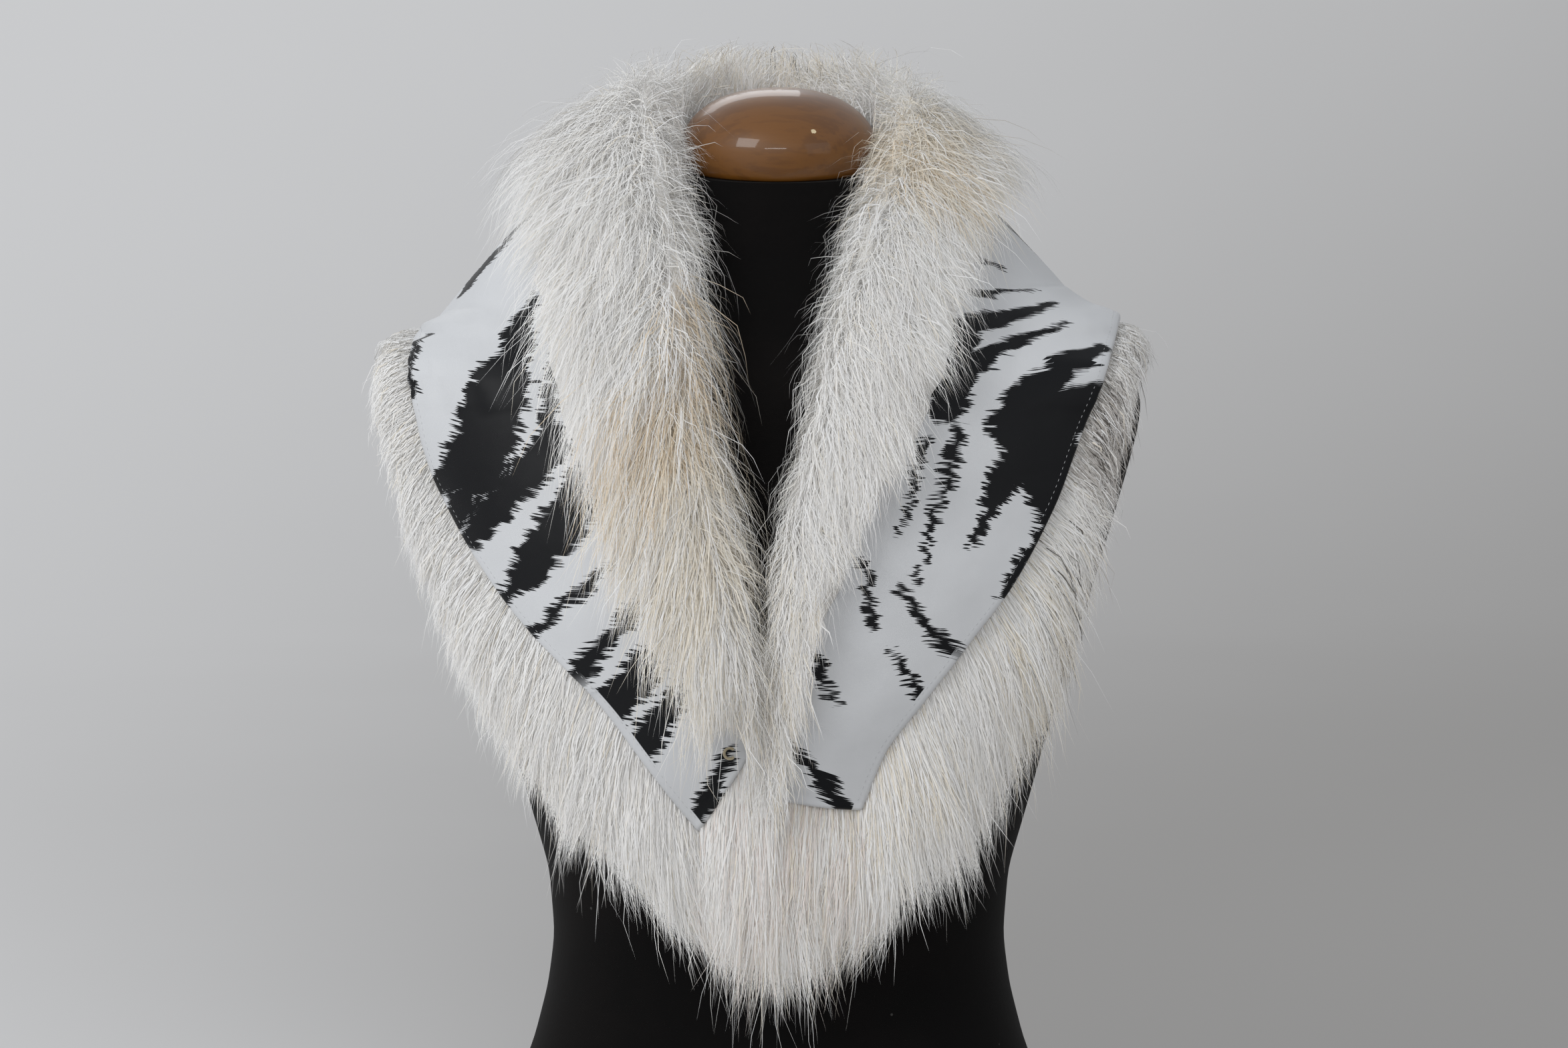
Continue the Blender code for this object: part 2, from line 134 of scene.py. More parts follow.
SHADE_COLOURS = {
    Shade.WHITE: (0.975, 0.968, 0.955),
    Shade.IVORY: (0.965, 0.945, 0.905),
    Shade.CREAM: (0.94, 0.88, 0.77),
    Shade.TAN: (0.84, 0.71, 0.54),
    Shade.BLUSH: (0.94, 0.86, 0.81),
    Shade.GREY: (0.60, 0.57, 0.54),
    Shade.DARK: (0.11, 0.10, 0.09),
    Shade.BRIGHT: (0.99, 0.99, 0.985),
}


# ---------------------------------------------------------------- small helpers


def unit(vectors: np.ndarray) -> np.ndarray:
    """The vectors, each one metre long."""
    return vectors / np.maximum(np.linalg.norm(vectors, axis=-1, keepdims=True), 1e-12)


def dot(first: np.ndarray, second: np.ndarray) -> np.ndarray:
    """The dot product of each pair of vectors, with its last axis kept."""
    return np.sum(first * second, axis=-1, keepdims=True)


def smooth_rows(table: tuple, count: int) -> np.ndarray:
    """Rows on a Catmull-Rom curve through the rows of a table.

    Args:
        table: rows of numbers.
        count: how many rows to give back, evenly spread.

    Returns:
        An array with count rows.
    """
    keys = np.array(table, float)
    ends = np.vstack([2 * keys[0] - keys[1], keys, 2 * keys[-1] - keys[-2]])
    place = np.linspace(0, len(keys) - 1, count)
    start = np.minimum(place.astype(int), len(keys) - 2)
    t = (place - start)[:, None]
    before, first, second, after = (ends[start + k] for k in range(4))
    return 0.5 * (
        2 * first
        + (second - before) * t
        + (2 * before - 5 * first + 4 * second - after) * t**2
        + (3 * first - before - 3 * second + after) * t**3
    )


def eased(values: np.ndarray, spread: float) -> np.ndarray:
    """Values smoothed along the first axis, with the ends held.

    Args:
        values: an array whose first axis runs along the piece.
        spread: the width of the smoothing, in rows.

    Returns:
        An array of the same shape.
    """
    half = int(spread * 3)
    weights = np.exp(-0.5 * (np.arange(-half, half + 1) / spread) ** 2)
    weights /= weights.sum()
    padded = np.concatenate(
        [np.repeat(values[:1], half, 0), values, np.repeat(values[-1:], half, 0)]
    )
    return sum(w * padded[k : k + len(values)] for k, w in enumerate(weights))


def form_place(points: np.ndarray) -> np.ndarray:
    """How far points lie outside the form, as a share of its size at their height."""
    table = np.array(FORM_TABLE, float) * MM
    height = points[..., 2]
    half_width, front, back = (
        np.interp(height, table[:, 0], table[:, k]) for k in (1, 2, 3)
    )
    depth = np.where(points[..., 1] < 0, front, back)
    power = DressForm.power
    sides = np.abs(points[..., 0] / half_width) ** power
    return (sides + np.abs(points[..., 1] / depth) ** power) ** (1 / power) - 1


def clear_of_form(
    points: np.ndarray, lift: float | np.ndarray, passes: int = 6
) -> np.ndarray:
    """Moves points straight off the form where they are nearer to it than lift.

    Args:
        points: the points, in metres.
        lift: the least distance from the form, one for all or one for each point.
        passes: how often the step is repeated.

    Returns:
        The cleared points.
    """
    cleared = points.copy()
    step = np.eye(3) * MM
    for _ in range(passes):
        place = form_place(cleared)
        slope = [form_place(cleared + way) - form_place(cleared - way) for way in step]
        slope = np.stack(slope, axis=-1) / (2 * MM)
        steepness = np.maximum(np.linalg.norm(slope, axis=-1), 1e-9)
        missing = np.maximum(lift - place / steepness, 0)
        cleared += slope * (missing / steepness)[..., None]
    return cleared


def drift(points: np.ndarray, size: float, seed: float) -> np.ndarray:
    """A smooth random vector at each point.

    Args:
        points: the points, in metres.
        size: how far apart the changes are, in metres.
        seed: where in the noise to look.

    Returns:
        One vector for each point, about 0.5 long.
    """
    shifted = points / size + seed
    found = [noise.noise_vector(Vector(p)) for p in shifted.reshape(-1, 3)]
    return np.array(found).reshape(points.shape)


# ---------------------------------------------------------------- modelling tools


def deselect() -> None:
    """Leaves nothing selected, so that an operator acts on the new piece alone."""
    if bpy.context.object and bpy.context.object.mode != "OBJECT":
        bpy.ops.object.mode_set(mode="OBJECT")
    bpy.ops.object.select_all(action="DESELECT")


def points_of(obj: Object) -> np.ndarray:
    """The places of a mesh's points."""
    found = np.empty(len(obj.data.vertices) * 3, np.float32)
    obj.data.vertices.foreach_get("co", found)
    return found.reshape(-1, 3).astype(float)


def lay_points(obj: Object, points: np.ndarray) -> None:
    """Puts a mesh's points at new places."""
    obj.data.vertices.foreach_set("co", points.astype(np.float32).ravel())
    obj.data.update()


def apply_modifier(obj: Object, kind: str, **settings: Any) -> None:
    """Adds a modifier with these settings and applies it.

    Args:
        obj: the piece.
        kind: the kind of modifier.
        settings: its settings by name.
    """
    bpy.context.view_layer.objects.active = obj
    modifier = obj.modifiers.new(kind.lower(), kind)
    for name, value in settings.items():
        setattr(modifier, name, value)
    bpy.ops.object.modifier_apply(modifier=modifier.name)


def loft_rings(name: str, rings: np.ndarray, closed_tip: bool = False) -> Object:
    """Extrudes a circle once for each ring and lays each ring's points in place.

    Args:
        name: the piece's name.
        rings: points as (ring, place round it, 3), in metres.
        closed_tip: draws the last ring together to one point.

    Returns:
        The closed piece, facing outwards.
    """
    count, around = rings.shape[:2]
    deselect()
    bpy.ops.mesh.primitive_circle_add(vertices=around, radius=1, fill_type="NOTHING")
    obj = bpy.context.object
    obj.name = obj.data.name = name
    bpy.ops.object.mode_set(mode="EDIT")
    bpy.ops.mesh.select_all(action="SELECT")
    for _ in range(count - 1):
        bpy.ops.mesh.extrude_region_move(TRANSFORM_OT_translate={"value": (0, 0, 1)})
    if closed_tip:
        bpy.ops.mesh.merge(type="CENTER")
    else:
        bpy.ops.mesh.edge_face_add()
    bpy.ops.object.mode_set(mode="OBJECT")
    places = points_of(obj)
    ring = np.rint(places[:, 2]).astype(int)
    turn = np.arctan2(places[:, 1], places[:, 0]) / (2 * math.pi)
    place = np.rint(turn * around).astype(int) % around
    lone = np.hypot(places[:, 0], places[:, 1]) < 0.5
    flat = rings[ring, place]
    flat[lone] = rings[-1].mean(axis=0)
    bpy.ops.object.mode_set(mode="EDIT")
    bpy.ops.mesh.select_all(action="DESELECT")
    bpy.ops.object.mode_set(mode="OBJECT")
    for vertex, level in zip(obj.data.vertices, ring, strict=True):
        vertex.select = bool(level == 0)
    bpy.ops.object.mode_set(mode="EDIT")
    bpy.ops.mesh.select_mode(type="VERT")
    bpy.ops.mesh.edge_face_add()
    bpy.ops.object.mode_set(mode="OBJECT")
    lay_points(obj, flat)
    bpy.ops.object.mode_set(mode="EDIT")
    bpy.ops.mesh.select_all(action="SELECT")
    bpy.ops.mesh.normals_make_consistent(inside=False)
    bpy.ops.object.mode_set(mode="OBJECT")
    return obj


def lay_grid(name: str, places: np.ndarray, flat: np.ndarray | None, turn: int) -> Object:
    """Adds a grid with one point for each place and lays it over those places.

    Args:
        name: the piece's name.
        places: points as (row, column, 3), in metres.
        flat: the same points on the flat cloth as (row, column, 2), for the UV map.
        turn: 1 where rows then columns turn towards the lining, -1 where they turn away.

    Returns:
        The open sheet.
    """
    rows, columns = places.shape[:2]
    deselect()
    bpy.ops.mesh.primitive_grid_add(
        x_subdivisions=columns - 1, y_subdivisions=rows - 1, size=2
    )
    obj = bpy.context.object
    obj.name = obj.data.name = name
    start = points_of(obj)
    column = np.rint((start[:, 0] + 1) / 2 * (columns - 1)).astype(int)
    row = np.rint((start[:, 1] + 1) / 2 * (rows - 1)).astype(int)
    lay_points(obj, places[row, column])
    order = obj.data.attributes.new("Order", "INT", "POINT")
    order.data.foreach_set("value", (row * columns + column).astype(np.int32))
    if flat is not None:
        obj.data.uv_layers[0].name = "Cloth"
        add_map(obj, "Cloth", flat)
    if turn > 0:
        bpy.ops.object.mode_set(mode="EDIT")
        bpy.ops.mesh.select_all(action="SELECT")
        bpy.ops.mesh.flip_normals()
        bpy.ops.object.mode_set(mode="OBJECT")
    return obj


def add_map(obj: Object, name: str, flat: np.ndarray) -> None:
    """Gives a grid a UV map, or fills the one that it has.

    Args:
        obj: a piece made by lay_grid.
        name: the map's name.
        flat: the map's place for each point of the grid, (row, column, 2).
    """
    layer = obj.data.uv_layers.get(name) or obj.data.uv_layers.new(name=name)
    corner = np.empty(len(obj.data.loops), np.int32)
    obj.data.loops.foreach_get("vertex_index", corner)
    order = np.empty(len(obj.data.vertices), np.int32)
    obj.data.attributes["Order"].data.foreach_get("value", order)
    spread = flat.reshape(-1, 2)[order[corner]]
    layer.data.foreach_set("uv", spread.astype(np.float32).ravel())


def smooth(obj: Object, angle: float = 40) -> None:
    """Shades a piece smooth but for edges sharper than an angle in degrees."""
    deselect()
    obj.select_set(True)
    bpy.context.view_layer.objects.active = obj
    bpy.ops.object.shade_smooth_by_angle(angle=math.radians(angle))


def dress(obj: Object, finish: Material, slot: str, *nodes: str) -> Object:
    """Gives a piece its finish, its body and the solids it stands for.

    Args:
        obj: the piece.
        finish: its material.
        slot: not used.
        nodes: the CAD solids that it replaces.

    Returns:
        The same piece.
    """
    obj.data.materials.clear()
    obj.data.materials.append(finish)
    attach(obj, "root")
    if nodes:
        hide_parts(*nodes)
    faces = sum(len(p.vertices) - 2 for p in obj.data.polygons)
    LOG.info("%s: %d triangles", obj.name, faces)
    return obj


# ---------------------------------------------------------------- finishes


class Painter:
    """Writes the nodes of one material or node group."""

    def __init__(self, tree: bpy.types.NodeTree) -> None:
        """Takes the tree that the nodes go in."""
        self.tree = tree

    def node(self, kind: str, inputs: dict[Any, Any] | None = None, **settings: Any) -> Any:
        """Adds one node.

        Args:
            kind: the node's type.
            inputs: values or sockets for its inputs, by name or number.
            settings: its settings by name.

        Returns:
            The new node.
        """
        made = self.tree.nodes.new(kind)
        for name, value in settings.items():
            setattr(made, name, value)
        for name, value in (inputs or {}).items():
            self.feed(made.inputs[name], value)
        return made

    def feed(self, socket: Socket, value: Any) -> None:
        """Links a socket into an input, or sets the input's value."""
        if isinstance(value, bpy.types.NodeSocket):
            self.tree.links.new(value, socket)
        elif isinstance(value, tuple) and len(value) == 3 and socket.type == "RGBA":
            socket.default_value = (*value, 1)
        else:
            socket.default_value = value

    def math(self, way: str, first: Any, second: Any = 0.0, third: Any = 0.0) -> Socket:
        """The output of a Math node that works on up to three values."""
        inputs = {0: first, 1: second}
        if way in ("MULTIPLY_ADD", "SMOOTH_MIN", "COMPARE"):
            inputs[2] = third
        return self.node("ShaderNodeMath", inputs, operation=way).outputs[0]

    def vector(self, way: str, first: Any, second: Any = (0, 0, 0)) -> Any:
        """A Vector Math node that works on two vectors."""
        return self.node("ShaderNodeVectorMath", {0: first, 1: second}, operation=way)

    def mix(self, share: Any, first: Any, second: Any) -> Socket:
        """The colour that lies a share of the way from first to second."""
        made = self.node("ShaderNodeMix", data_type="RGBA", clamp_factor=True)
        for place, value in ((0, share), (6, first), (7, second)):
            self.feed(made.inputs[place], value)
        return made.outputs[2]

    def spread(self, value: Any, low: float, high: float, first: float = 0, last: float = 1) -> Socket:
        """A value carried from low to high onto first to last, smoothly and held at the ends."""
        inputs = {0: value, 1: low, 2: high, 3: first, 4: last}
        made = self.node("ShaderNodeMapRange", inputs, interpolation_type="SMOOTHSTEP")
        return made.outputs[0]

    def noise(self, place: Any, scale: float, detail: float = 2, rough: float = 0.5) -> Any:
        """A noise texture read at a place."""
        return self.node(
            "ShaderNodeTexNoise",
            {"Vector": place, "Scale": scale, "Detail": detail, "Roughness": rough},
        )

    def stretched(self, place: Any, scale: tuple[float, float, float]) -> Socket:
        """A place stretched differently along its three axes."""
        inputs = {"Vector": place, "Scale": scale}
        return self.node("ShaderNodeMapping", inputs).outputs[0]

    def group(self, tree: bpy.types.NodeTree, inputs: dict[str, Any]) -> Any:
        """Places a shared effect with its own values."""
        made = self.node("ShaderNodeGroup", node_tree=tree)
        for name, value in inputs.items():
            self.feed(made.inputs[name], value)
        return made


def new_group(name: str, inputs: dict[str, str], outputs: dict[str, str]) -> tuple[Painter, Any, Any]:
    """Starts a shared effect.

    Args:
        name: what the effect is called.
        inputs: its inputs' names and socket types.
        outputs: its outputs' names and socket types.

    Returns:
        A painter for the group, its input node and its output node.
    """
    tree = bpy.data.node_groups.new(name, "ShaderNodeTree")
    for way, sockets in (("INPUT", inputs), ("OUTPUT", outputs)):
        for label, kind in sockets.items():
            tree.interface.new_socket(label, in_out=way, socket_type=kind)
    painter = Painter(tree)
    return painter, painter.node("NodeGroupInput"), painter.node("NodeGroupOutput")


VALUE, PLACE, COLOUR = "NodeSocketFloat", "NodeSocketVector", "NodeSocketColor"


class Effects:
    """The shared effects, each built once: weave, flecks, print strokes and hair shades."""

    def __init__(self) -> None:
        """Builds each effect's node group."""
        self.weave = self._weave()
        self.flecks = self._flecks()
        self.stroke = self._stroke()
        self.hair_shade = self._hair_shade()

    def _weave(self) -> bpy.types.NodeTree:
        """Threads that cross at a pitch, as a height."""
        p, start, end = new_group(
            "thread_weave", {"Place": PLACE, "Pitch": VALUE}, {"Height": VALUE}
        )
        scaled = p.vector("DIVIDE", start.outputs["Place"], (1, 1, 1))
        wide = p.node("ShaderNodeCombineXYZ", {0: start.outputs[1], 1: start.outputs[1], 2: start.outputs[1]})
        p.feed(scaled.inputs[1], wide.outputs[0])
        parts = p.node("ShaderNodeSeparateXYZ", {0: scaled.outputs[0]})
        across = p.math("SINE", p.math("MULTIPLY", parts.outputs[0], 2 * math.pi))
        along = p.math("SINE", p.math("MULTIPLY", parts.outputs[1], 2 * math.pi))
        crossed = p.math("MULTIPLY", across, along)
        p.feed(end.inputs["Height"], p.math("MULTIPLY_ADD", crossed, 0.5, 0.5))
        return p.tree

    def _flecks(self) -> bpy.types.NodeTree:
        """Scattered specks of lint or dust, as a mask."""
        p, start, end = new_group(
            "stray_flecks", {"Place": PLACE, "Scale": VALUE, "Size": VALUE}, {"Mask": VALUE}
        )
        cells = p.node("ShaderNodeTexVoronoi", {"Vector": start.outputs[0], "Scale": start.outputs[1]})
        tone = p.node("ShaderNodeSeparateColor", {0: cells.outputs["Color"]})
        size = p.math("MULTIPLY", start.outputs[2], p.spread(tone.outputs[0], 0.72, 1.0))
        near = p.math("SUBTRACT", size, cells.outputs["Distance"])
        p.feed(end.inputs[0], p.spread(near, 0.0, 0.03))
        return p.tree

    def _stroke(self) -> bpy.types.NodeTree:
        """A tapering brush stroke between two places on cloth, as the distance from its edge."""
        p, start, end = new_group(
            "brush_stroke",
            {"Cloth": PLACE, "From": PLACE, "To": PLACE, "From Width": VALUE, "To Width": VALUE},
            {"Distance": VALUE},
        )
        off = p.vector("SUBTRACT", start.outputs["Cloth"], start.outputs["From"]).outputs[0]
        way = p.vector("SUBTRACT", start.outputs["To"], start.outputs["From"]).outputs[0]
        reach = p.vector("DOT_PRODUCT", off, way).outputs["Value"]
        whole = p.vector("DOT_PRODUCT", way, way).outputs["Value"]
        share = p.node("ShaderNodeClamp", {0: p.math("DIVIDE", reach, whole)}).outputs[0]
        spot = p.node("ShaderNodeVectorMath", {0: way, "Scale": share}, operation="SCALE")
        gap = p.vector("DISTANCE", off, spot.outputs[0]).outputs["Value"]
        grow = p.math("SUBTRACT", start.outputs["To Width"], start.outputs["From Width"])
        half = p.math("MULTIPLY_ADD", grow, share, start.outputs["From Width"])
        p.feed(end.inputs[0], p.math("SUBTRACT", gap, p.math("MULTIPLY", half, 0.5)))
        return p.tree

    def _hair_shade(self) -> bpy.types.NodeTree:
        """The colour of a hair from its place on the ramp and how far along it is, with painted shade towards its
        root.
        """
        p, start, end = new_group("hair_shade", {"Strand": PLACE}, {"Color": COLOUR})
        parts = p.node("ShaderNodeSeparateXYZ", {0: start.outputs[0]})
        ramp = p.node("ShaderNodeValToRGB", {0: parts.outputs[0]})
        ramp.color_ramp.interpolation = "CONSTANT"
        stops = ramp.color_ramp.elements
        stops[1].position = 1 / len(Shade)
        while len(stops) < len(Shade):
            stops.new(len(stops) / len(Shade))
        for shade in Shade:
            stops[shade.value].position = shade.value / len(Shade)
            stops[shade.value].color = (*SHADE_COLOURS[shade], 1)
        own = p.math("FRACT", p.math("MULTIPLY", parts.outputs[0], len(Shade)))
        light = p.math("MULTIPLY_ADD", own, 0.05, 0.95)
        # Painted shade: each hair is darkened a little towards its root, deep in the pile where the hairs shade one
        # another.
        deep = p.spread(parts.outputs[1], 0.0, 0.4, 0.96, 1.0)
        both = p.math("MULTIPLY", light, deep)
        grey = p.node("ShaderNodeCombineXYZ", {0: both, 1: both, 2: both})
        tint = p.vector("MULTIPLY", ramp.outputs[0], (1, 1, 1))
        p.feed(tint.inputs[1], grey.outputs[0])
        p.feed(end.inputs[0], tint.outputs[0])
        return p.tree


def new_material(name: str, **constants: Any) -> tuple[Painter, Any]:
    """Starts a material whose plain values sit on the shader's own sockets.

    Args:
        name: the material's name.
        constants: values for the shader's inputs, with _ for the spaces in their names.

    Returns:
        A painter for the material, and its Principled shader.
    """
    made = bpy.data.materials.new(name)
    made.use_nodes = True
    made.node_tree.nodes.clear()
    painter = Painter(made.node_tree)
    shader = painter.node("ShaderNodeBsdfPrincipled")
    output = painter.node("ShaderNodeOutputMaterial")
    painter.feed(output.inputs["Surface"], shader.outputs[0])
    for label, value in constants.items():
        painter.feed(shader.inputs[label.replace("_", " ")], value)
    return painter, shader


def material_of(painter: Painter) -> Material:
    """The material that a painter's tree belongs to."""
    return next(m for m in bpy.data.materials if m.node_tree == painter.tree)


@dataclass(frozen=True)
class Jersey:
    """The black knit stretched over the form."""

    dark: tuple[float, float, float] = (0.0022, 0.0019, 0.0019)
    worn: tuple[float, float, float] = (0.0055, 0.0046, 0.0044)
    lint: tuple[float, float, float] = (0.10, 0.098, 0.095)
    pitch: float = 0.0011

    def material(self, effects: Effects) -> Material:
        """Builds the material: fine knit, faint wear and a few specks of lint."""
        p, shader = new_material(
            "black_jersey", Specular_IOR_Level=0.12, Sheen_Weight=0.03, Sheen_Roughness=0.5
        )
        place = p.node("ShaderNodeTexCoord").outputs["Object"]
        cloud = p.noise(place, 14, 4, 0.55).outputs[0]
        tone = p.mix(p.spread(cloud, 0.35, 0.7), self.dark, self.worn)
        fleck = p.group(effects.flecks, {"Place": place, "Scale": 95, "Size": 0.10})
        tone = p.mix(p.math("MULTIPLY", fleck.outputs[0], 0.55), tone, self.lint)
        p.feed(shader.inputs["Base Color"], tone)
        p.feed(shader.inputs["Roughness"], p.spread(cloud, 0.2, 0.8, 0.82, 0.95))
        parts = p.node("ShaderNodeSeparateXYZ", {0: place})
        turn = p.math("ARCTAN2", parts.outputs[1], parts.outputs[0])
        round_form = p.math("MULTIPLY", turn, 0.16)
        laid = p.node("ShaderNodeCombineXYZ", {0: round_form, 1: parts.outputs[2]})
        knit = p.group(effects.weave, {"Place": laid.outputs[0], "Pitch": self.pitch})
        slub = p.noise(place, 420, 2).outputs[0]
        height = p.math("MULTIPLY_ADD", knit.outputs[0], 0.6, p.math("MULTIPLY", slub, 0.5))
        bump = p.node("ShaderNodeBump", {"Strength": 0.5, "Distance": 0.0004, "Height": height})
        p.feed(shader.inputs["Normal"], bump.outputs[0])
        return material_of(p)


@dataclass(frozen=True)
class Varnish:
    """Turned orange-brown wood under a thick clear lacquer."""

    pale: tuple[float, float, float] = (0.196, 0.075, 0.010)
    deep: tuple[float, float, float] = (0.120, 0.043, 0.006)
    chip: tuple[float, float, float] = (0.80, 0.66, 0.42)
    chip_place: tuple[float, float, float] = (0.0194, -0.0493, 0.6899)
    chip_size: float = 0.0017

    def material(self) -> Material:
        """Builds the material: soft grain, fine pores and one small chip."""
        p, shader = new_material(
            "varnished_wood", Coat_Roughness=0.06, Coat_IOR=1.5, Specular_IOR_Level=0.4
        )
        place = p.node("ShaderNodeTexCoord").outputs["Object"]
        long = p.stretched(place, (9, 60, 60))
        figure = p.noise(long, 1.6, 5, 0.6)
        rings = p.math("SINE", p.math("MULTIPLY", figure.outputs[0], 26))
        tone = p.mix(p.spread(rings, -1, 1, 0.15, 0.75), self.deep, self.pale)
        cloud = p.noise(place, 26, 3).outputs[0]
        tone = p.mix(p.spread(cloud, 0.3, 0.75, 0.0, 0.6), tone, self.pale)
        off = p.vector("DISTANCE", place, self.chip_place).outputs["Value"]
        ragged = p.math("MULTIPLY_ADD", p.noise(place, 900, 2).outputs[0], 0.0014, off)
        chip = p.spread(ragged, self.chip_size + 0.0006, self.chip_size + 0.0001)
        p.feed(shader.inputs["Base Color"], p.mix(chip, tone, self.chip))
        p.feed(shader.inputs["Coat Weight"], p.spread(chip, 0, 1, 0.5, 0.15))
        p.feed(shader.inputs["Roughness"], p.spread(cloud, 0.2, 0.8, 0.34, 0.46))
        pores = p.noise(long, 30, 2).outputs[0]
        waves = p.noise(place, 22, 1).outputs[0]
        height = p.math("MULTIPLY_ADD", waves, 0.9, p.math("MULTIPLY", pores, 0.04))
        height = p.math("SUBTRACT", height, p.math("MULTIPLY", chip, 0.4))
        bump = p.node("ShaderNodeBump", {"Strength": 0.25, "Distance": 0.002, "Height": height})
        p.feed(shader.inputs["Normal"], bump.outputs[0])
        return material_of(p)


@dataclass(frozen=True)
class Stroke:
    """One printed stroke: where it starts and ends on the flat cloth, and how wide, in mm."""

    start: tuple[float, float]
    end: tuple[float, float]
    widths: tuple[float, float]


LEFT_PRINT = (
    Stroke((-172, 672), (-184, 652), (5, 15)),
    Stroke((-186, 642), (-206, 626), (10, 20)),
    Stroke((-206, 572), (-203, 548), (6, 8)),
    Stroke((-137, 600), (-149, 552), (4, 26)),
    Stroke((-149, 554), (-166, 508), (32, 36)),
    Stroke((-166, 512), (-196, 488), (26, 6)),
    Stroke((-172, 488), (-190, 466), (18, 8)),
    Stroke((-122, 566), (-124, 520), (5, 15)),
    Stroke((-120, 522), (-168, 470), (22, 14)),
    Stroke((-96, 506), (-132, 456), (26, 22)),
    Stroke((-130, 456), (-158, 428), (16, 6)),
    Stroke((-86, 460), (-136, 416), (4, 7)),
    Stroke((-72, 438), (-112, 392), (8, 11)),
    Stroke((-58, 416), (-96, 374), (14, 24)),
    Stroke((-92, 380), (-116, 366), (14, 5)),
    Stroke((-50, 394), (-82, 346), (11, 24)),
    Stroke((-26, 358), (-50, 306), (5, 16)),
    Stroke((-150, 716), (-214, 676), (6, 22)),
    Stroke((-178, 732), (-264, 690), (20, 8)),
    Stroke((-176, 766), (-240, 732), (6, 20)),
    Stroke((-214, 772), (-300, 714), (18, 10)),
    Stroke((-190, 806), (-262, 772), (8, 22)),
    Stroke((-250, 802), (-318, 750), (16, 8)),
    Stroke((-236, 652), (-276, 642), (10, 4)),
)
RIGHT_PRINT = (
    Stroke((84, 664), (106, 656), (9, 4)),
    Stroke((90, 648), (118, 640), (8, 3)),
    Stroke((80, 618), (104, 613), (6, 6)),
    Stroke((104, 613), (136, 624), (6, 2)),
    Stroke((92, 584), (150, 612), (18, 6)),
    Stroke((96, 580), (92, 542), (24, 22)),
    Stroke((104, 560), (158, 596), (14, 4)),
    Stroke((126, 540), (180, 572), (16, 11)),
    Stroke((130, 530), (178, 540), (34, 22)),
    Stroke((140, 520), (150, 492), (42, 30)),
    Stroke((122, 502), (104, 468), (16, 5)),
    Stroke((162, 506), (152, 472), (22, 14)),
    Stroke((150, 478), (118, 442), (13, 6)),
    Stroke((78, 522), (66, 474), (7, 3)),
    Stroke((98, 526), (72, 448), (8, 3)),
    Stroke((44, 462), (50, 428), (4, 6)),
    Stroke((64, 446), (84, 420), (4, 7)),
    Stroke((84, 420), (104, 398), (8, 6)),
    Stroke((60, 412), (84, 378), (4, 9)),
    Stroke((18, 410), (30, 386), (8, 4)),
    Stroke((2, 368), (44, 316), (5, 11)),
    Stroke((96, 716), (160, 690), (6, 22)),
    Stroke((120, 728), (206, 700), (20, 8)),
    Stroke((112, 768), (172, 744), (6, 20)),
    Stroke((156, 766), (240, 722), (18, 10)),
    Stroke((124, 806), (190, 782), (8, 22)),
    Stroke((180, 800), (256, 764), (16, 8)),
    Stroke((196, 654), (214, 642), (10, 4)),
)


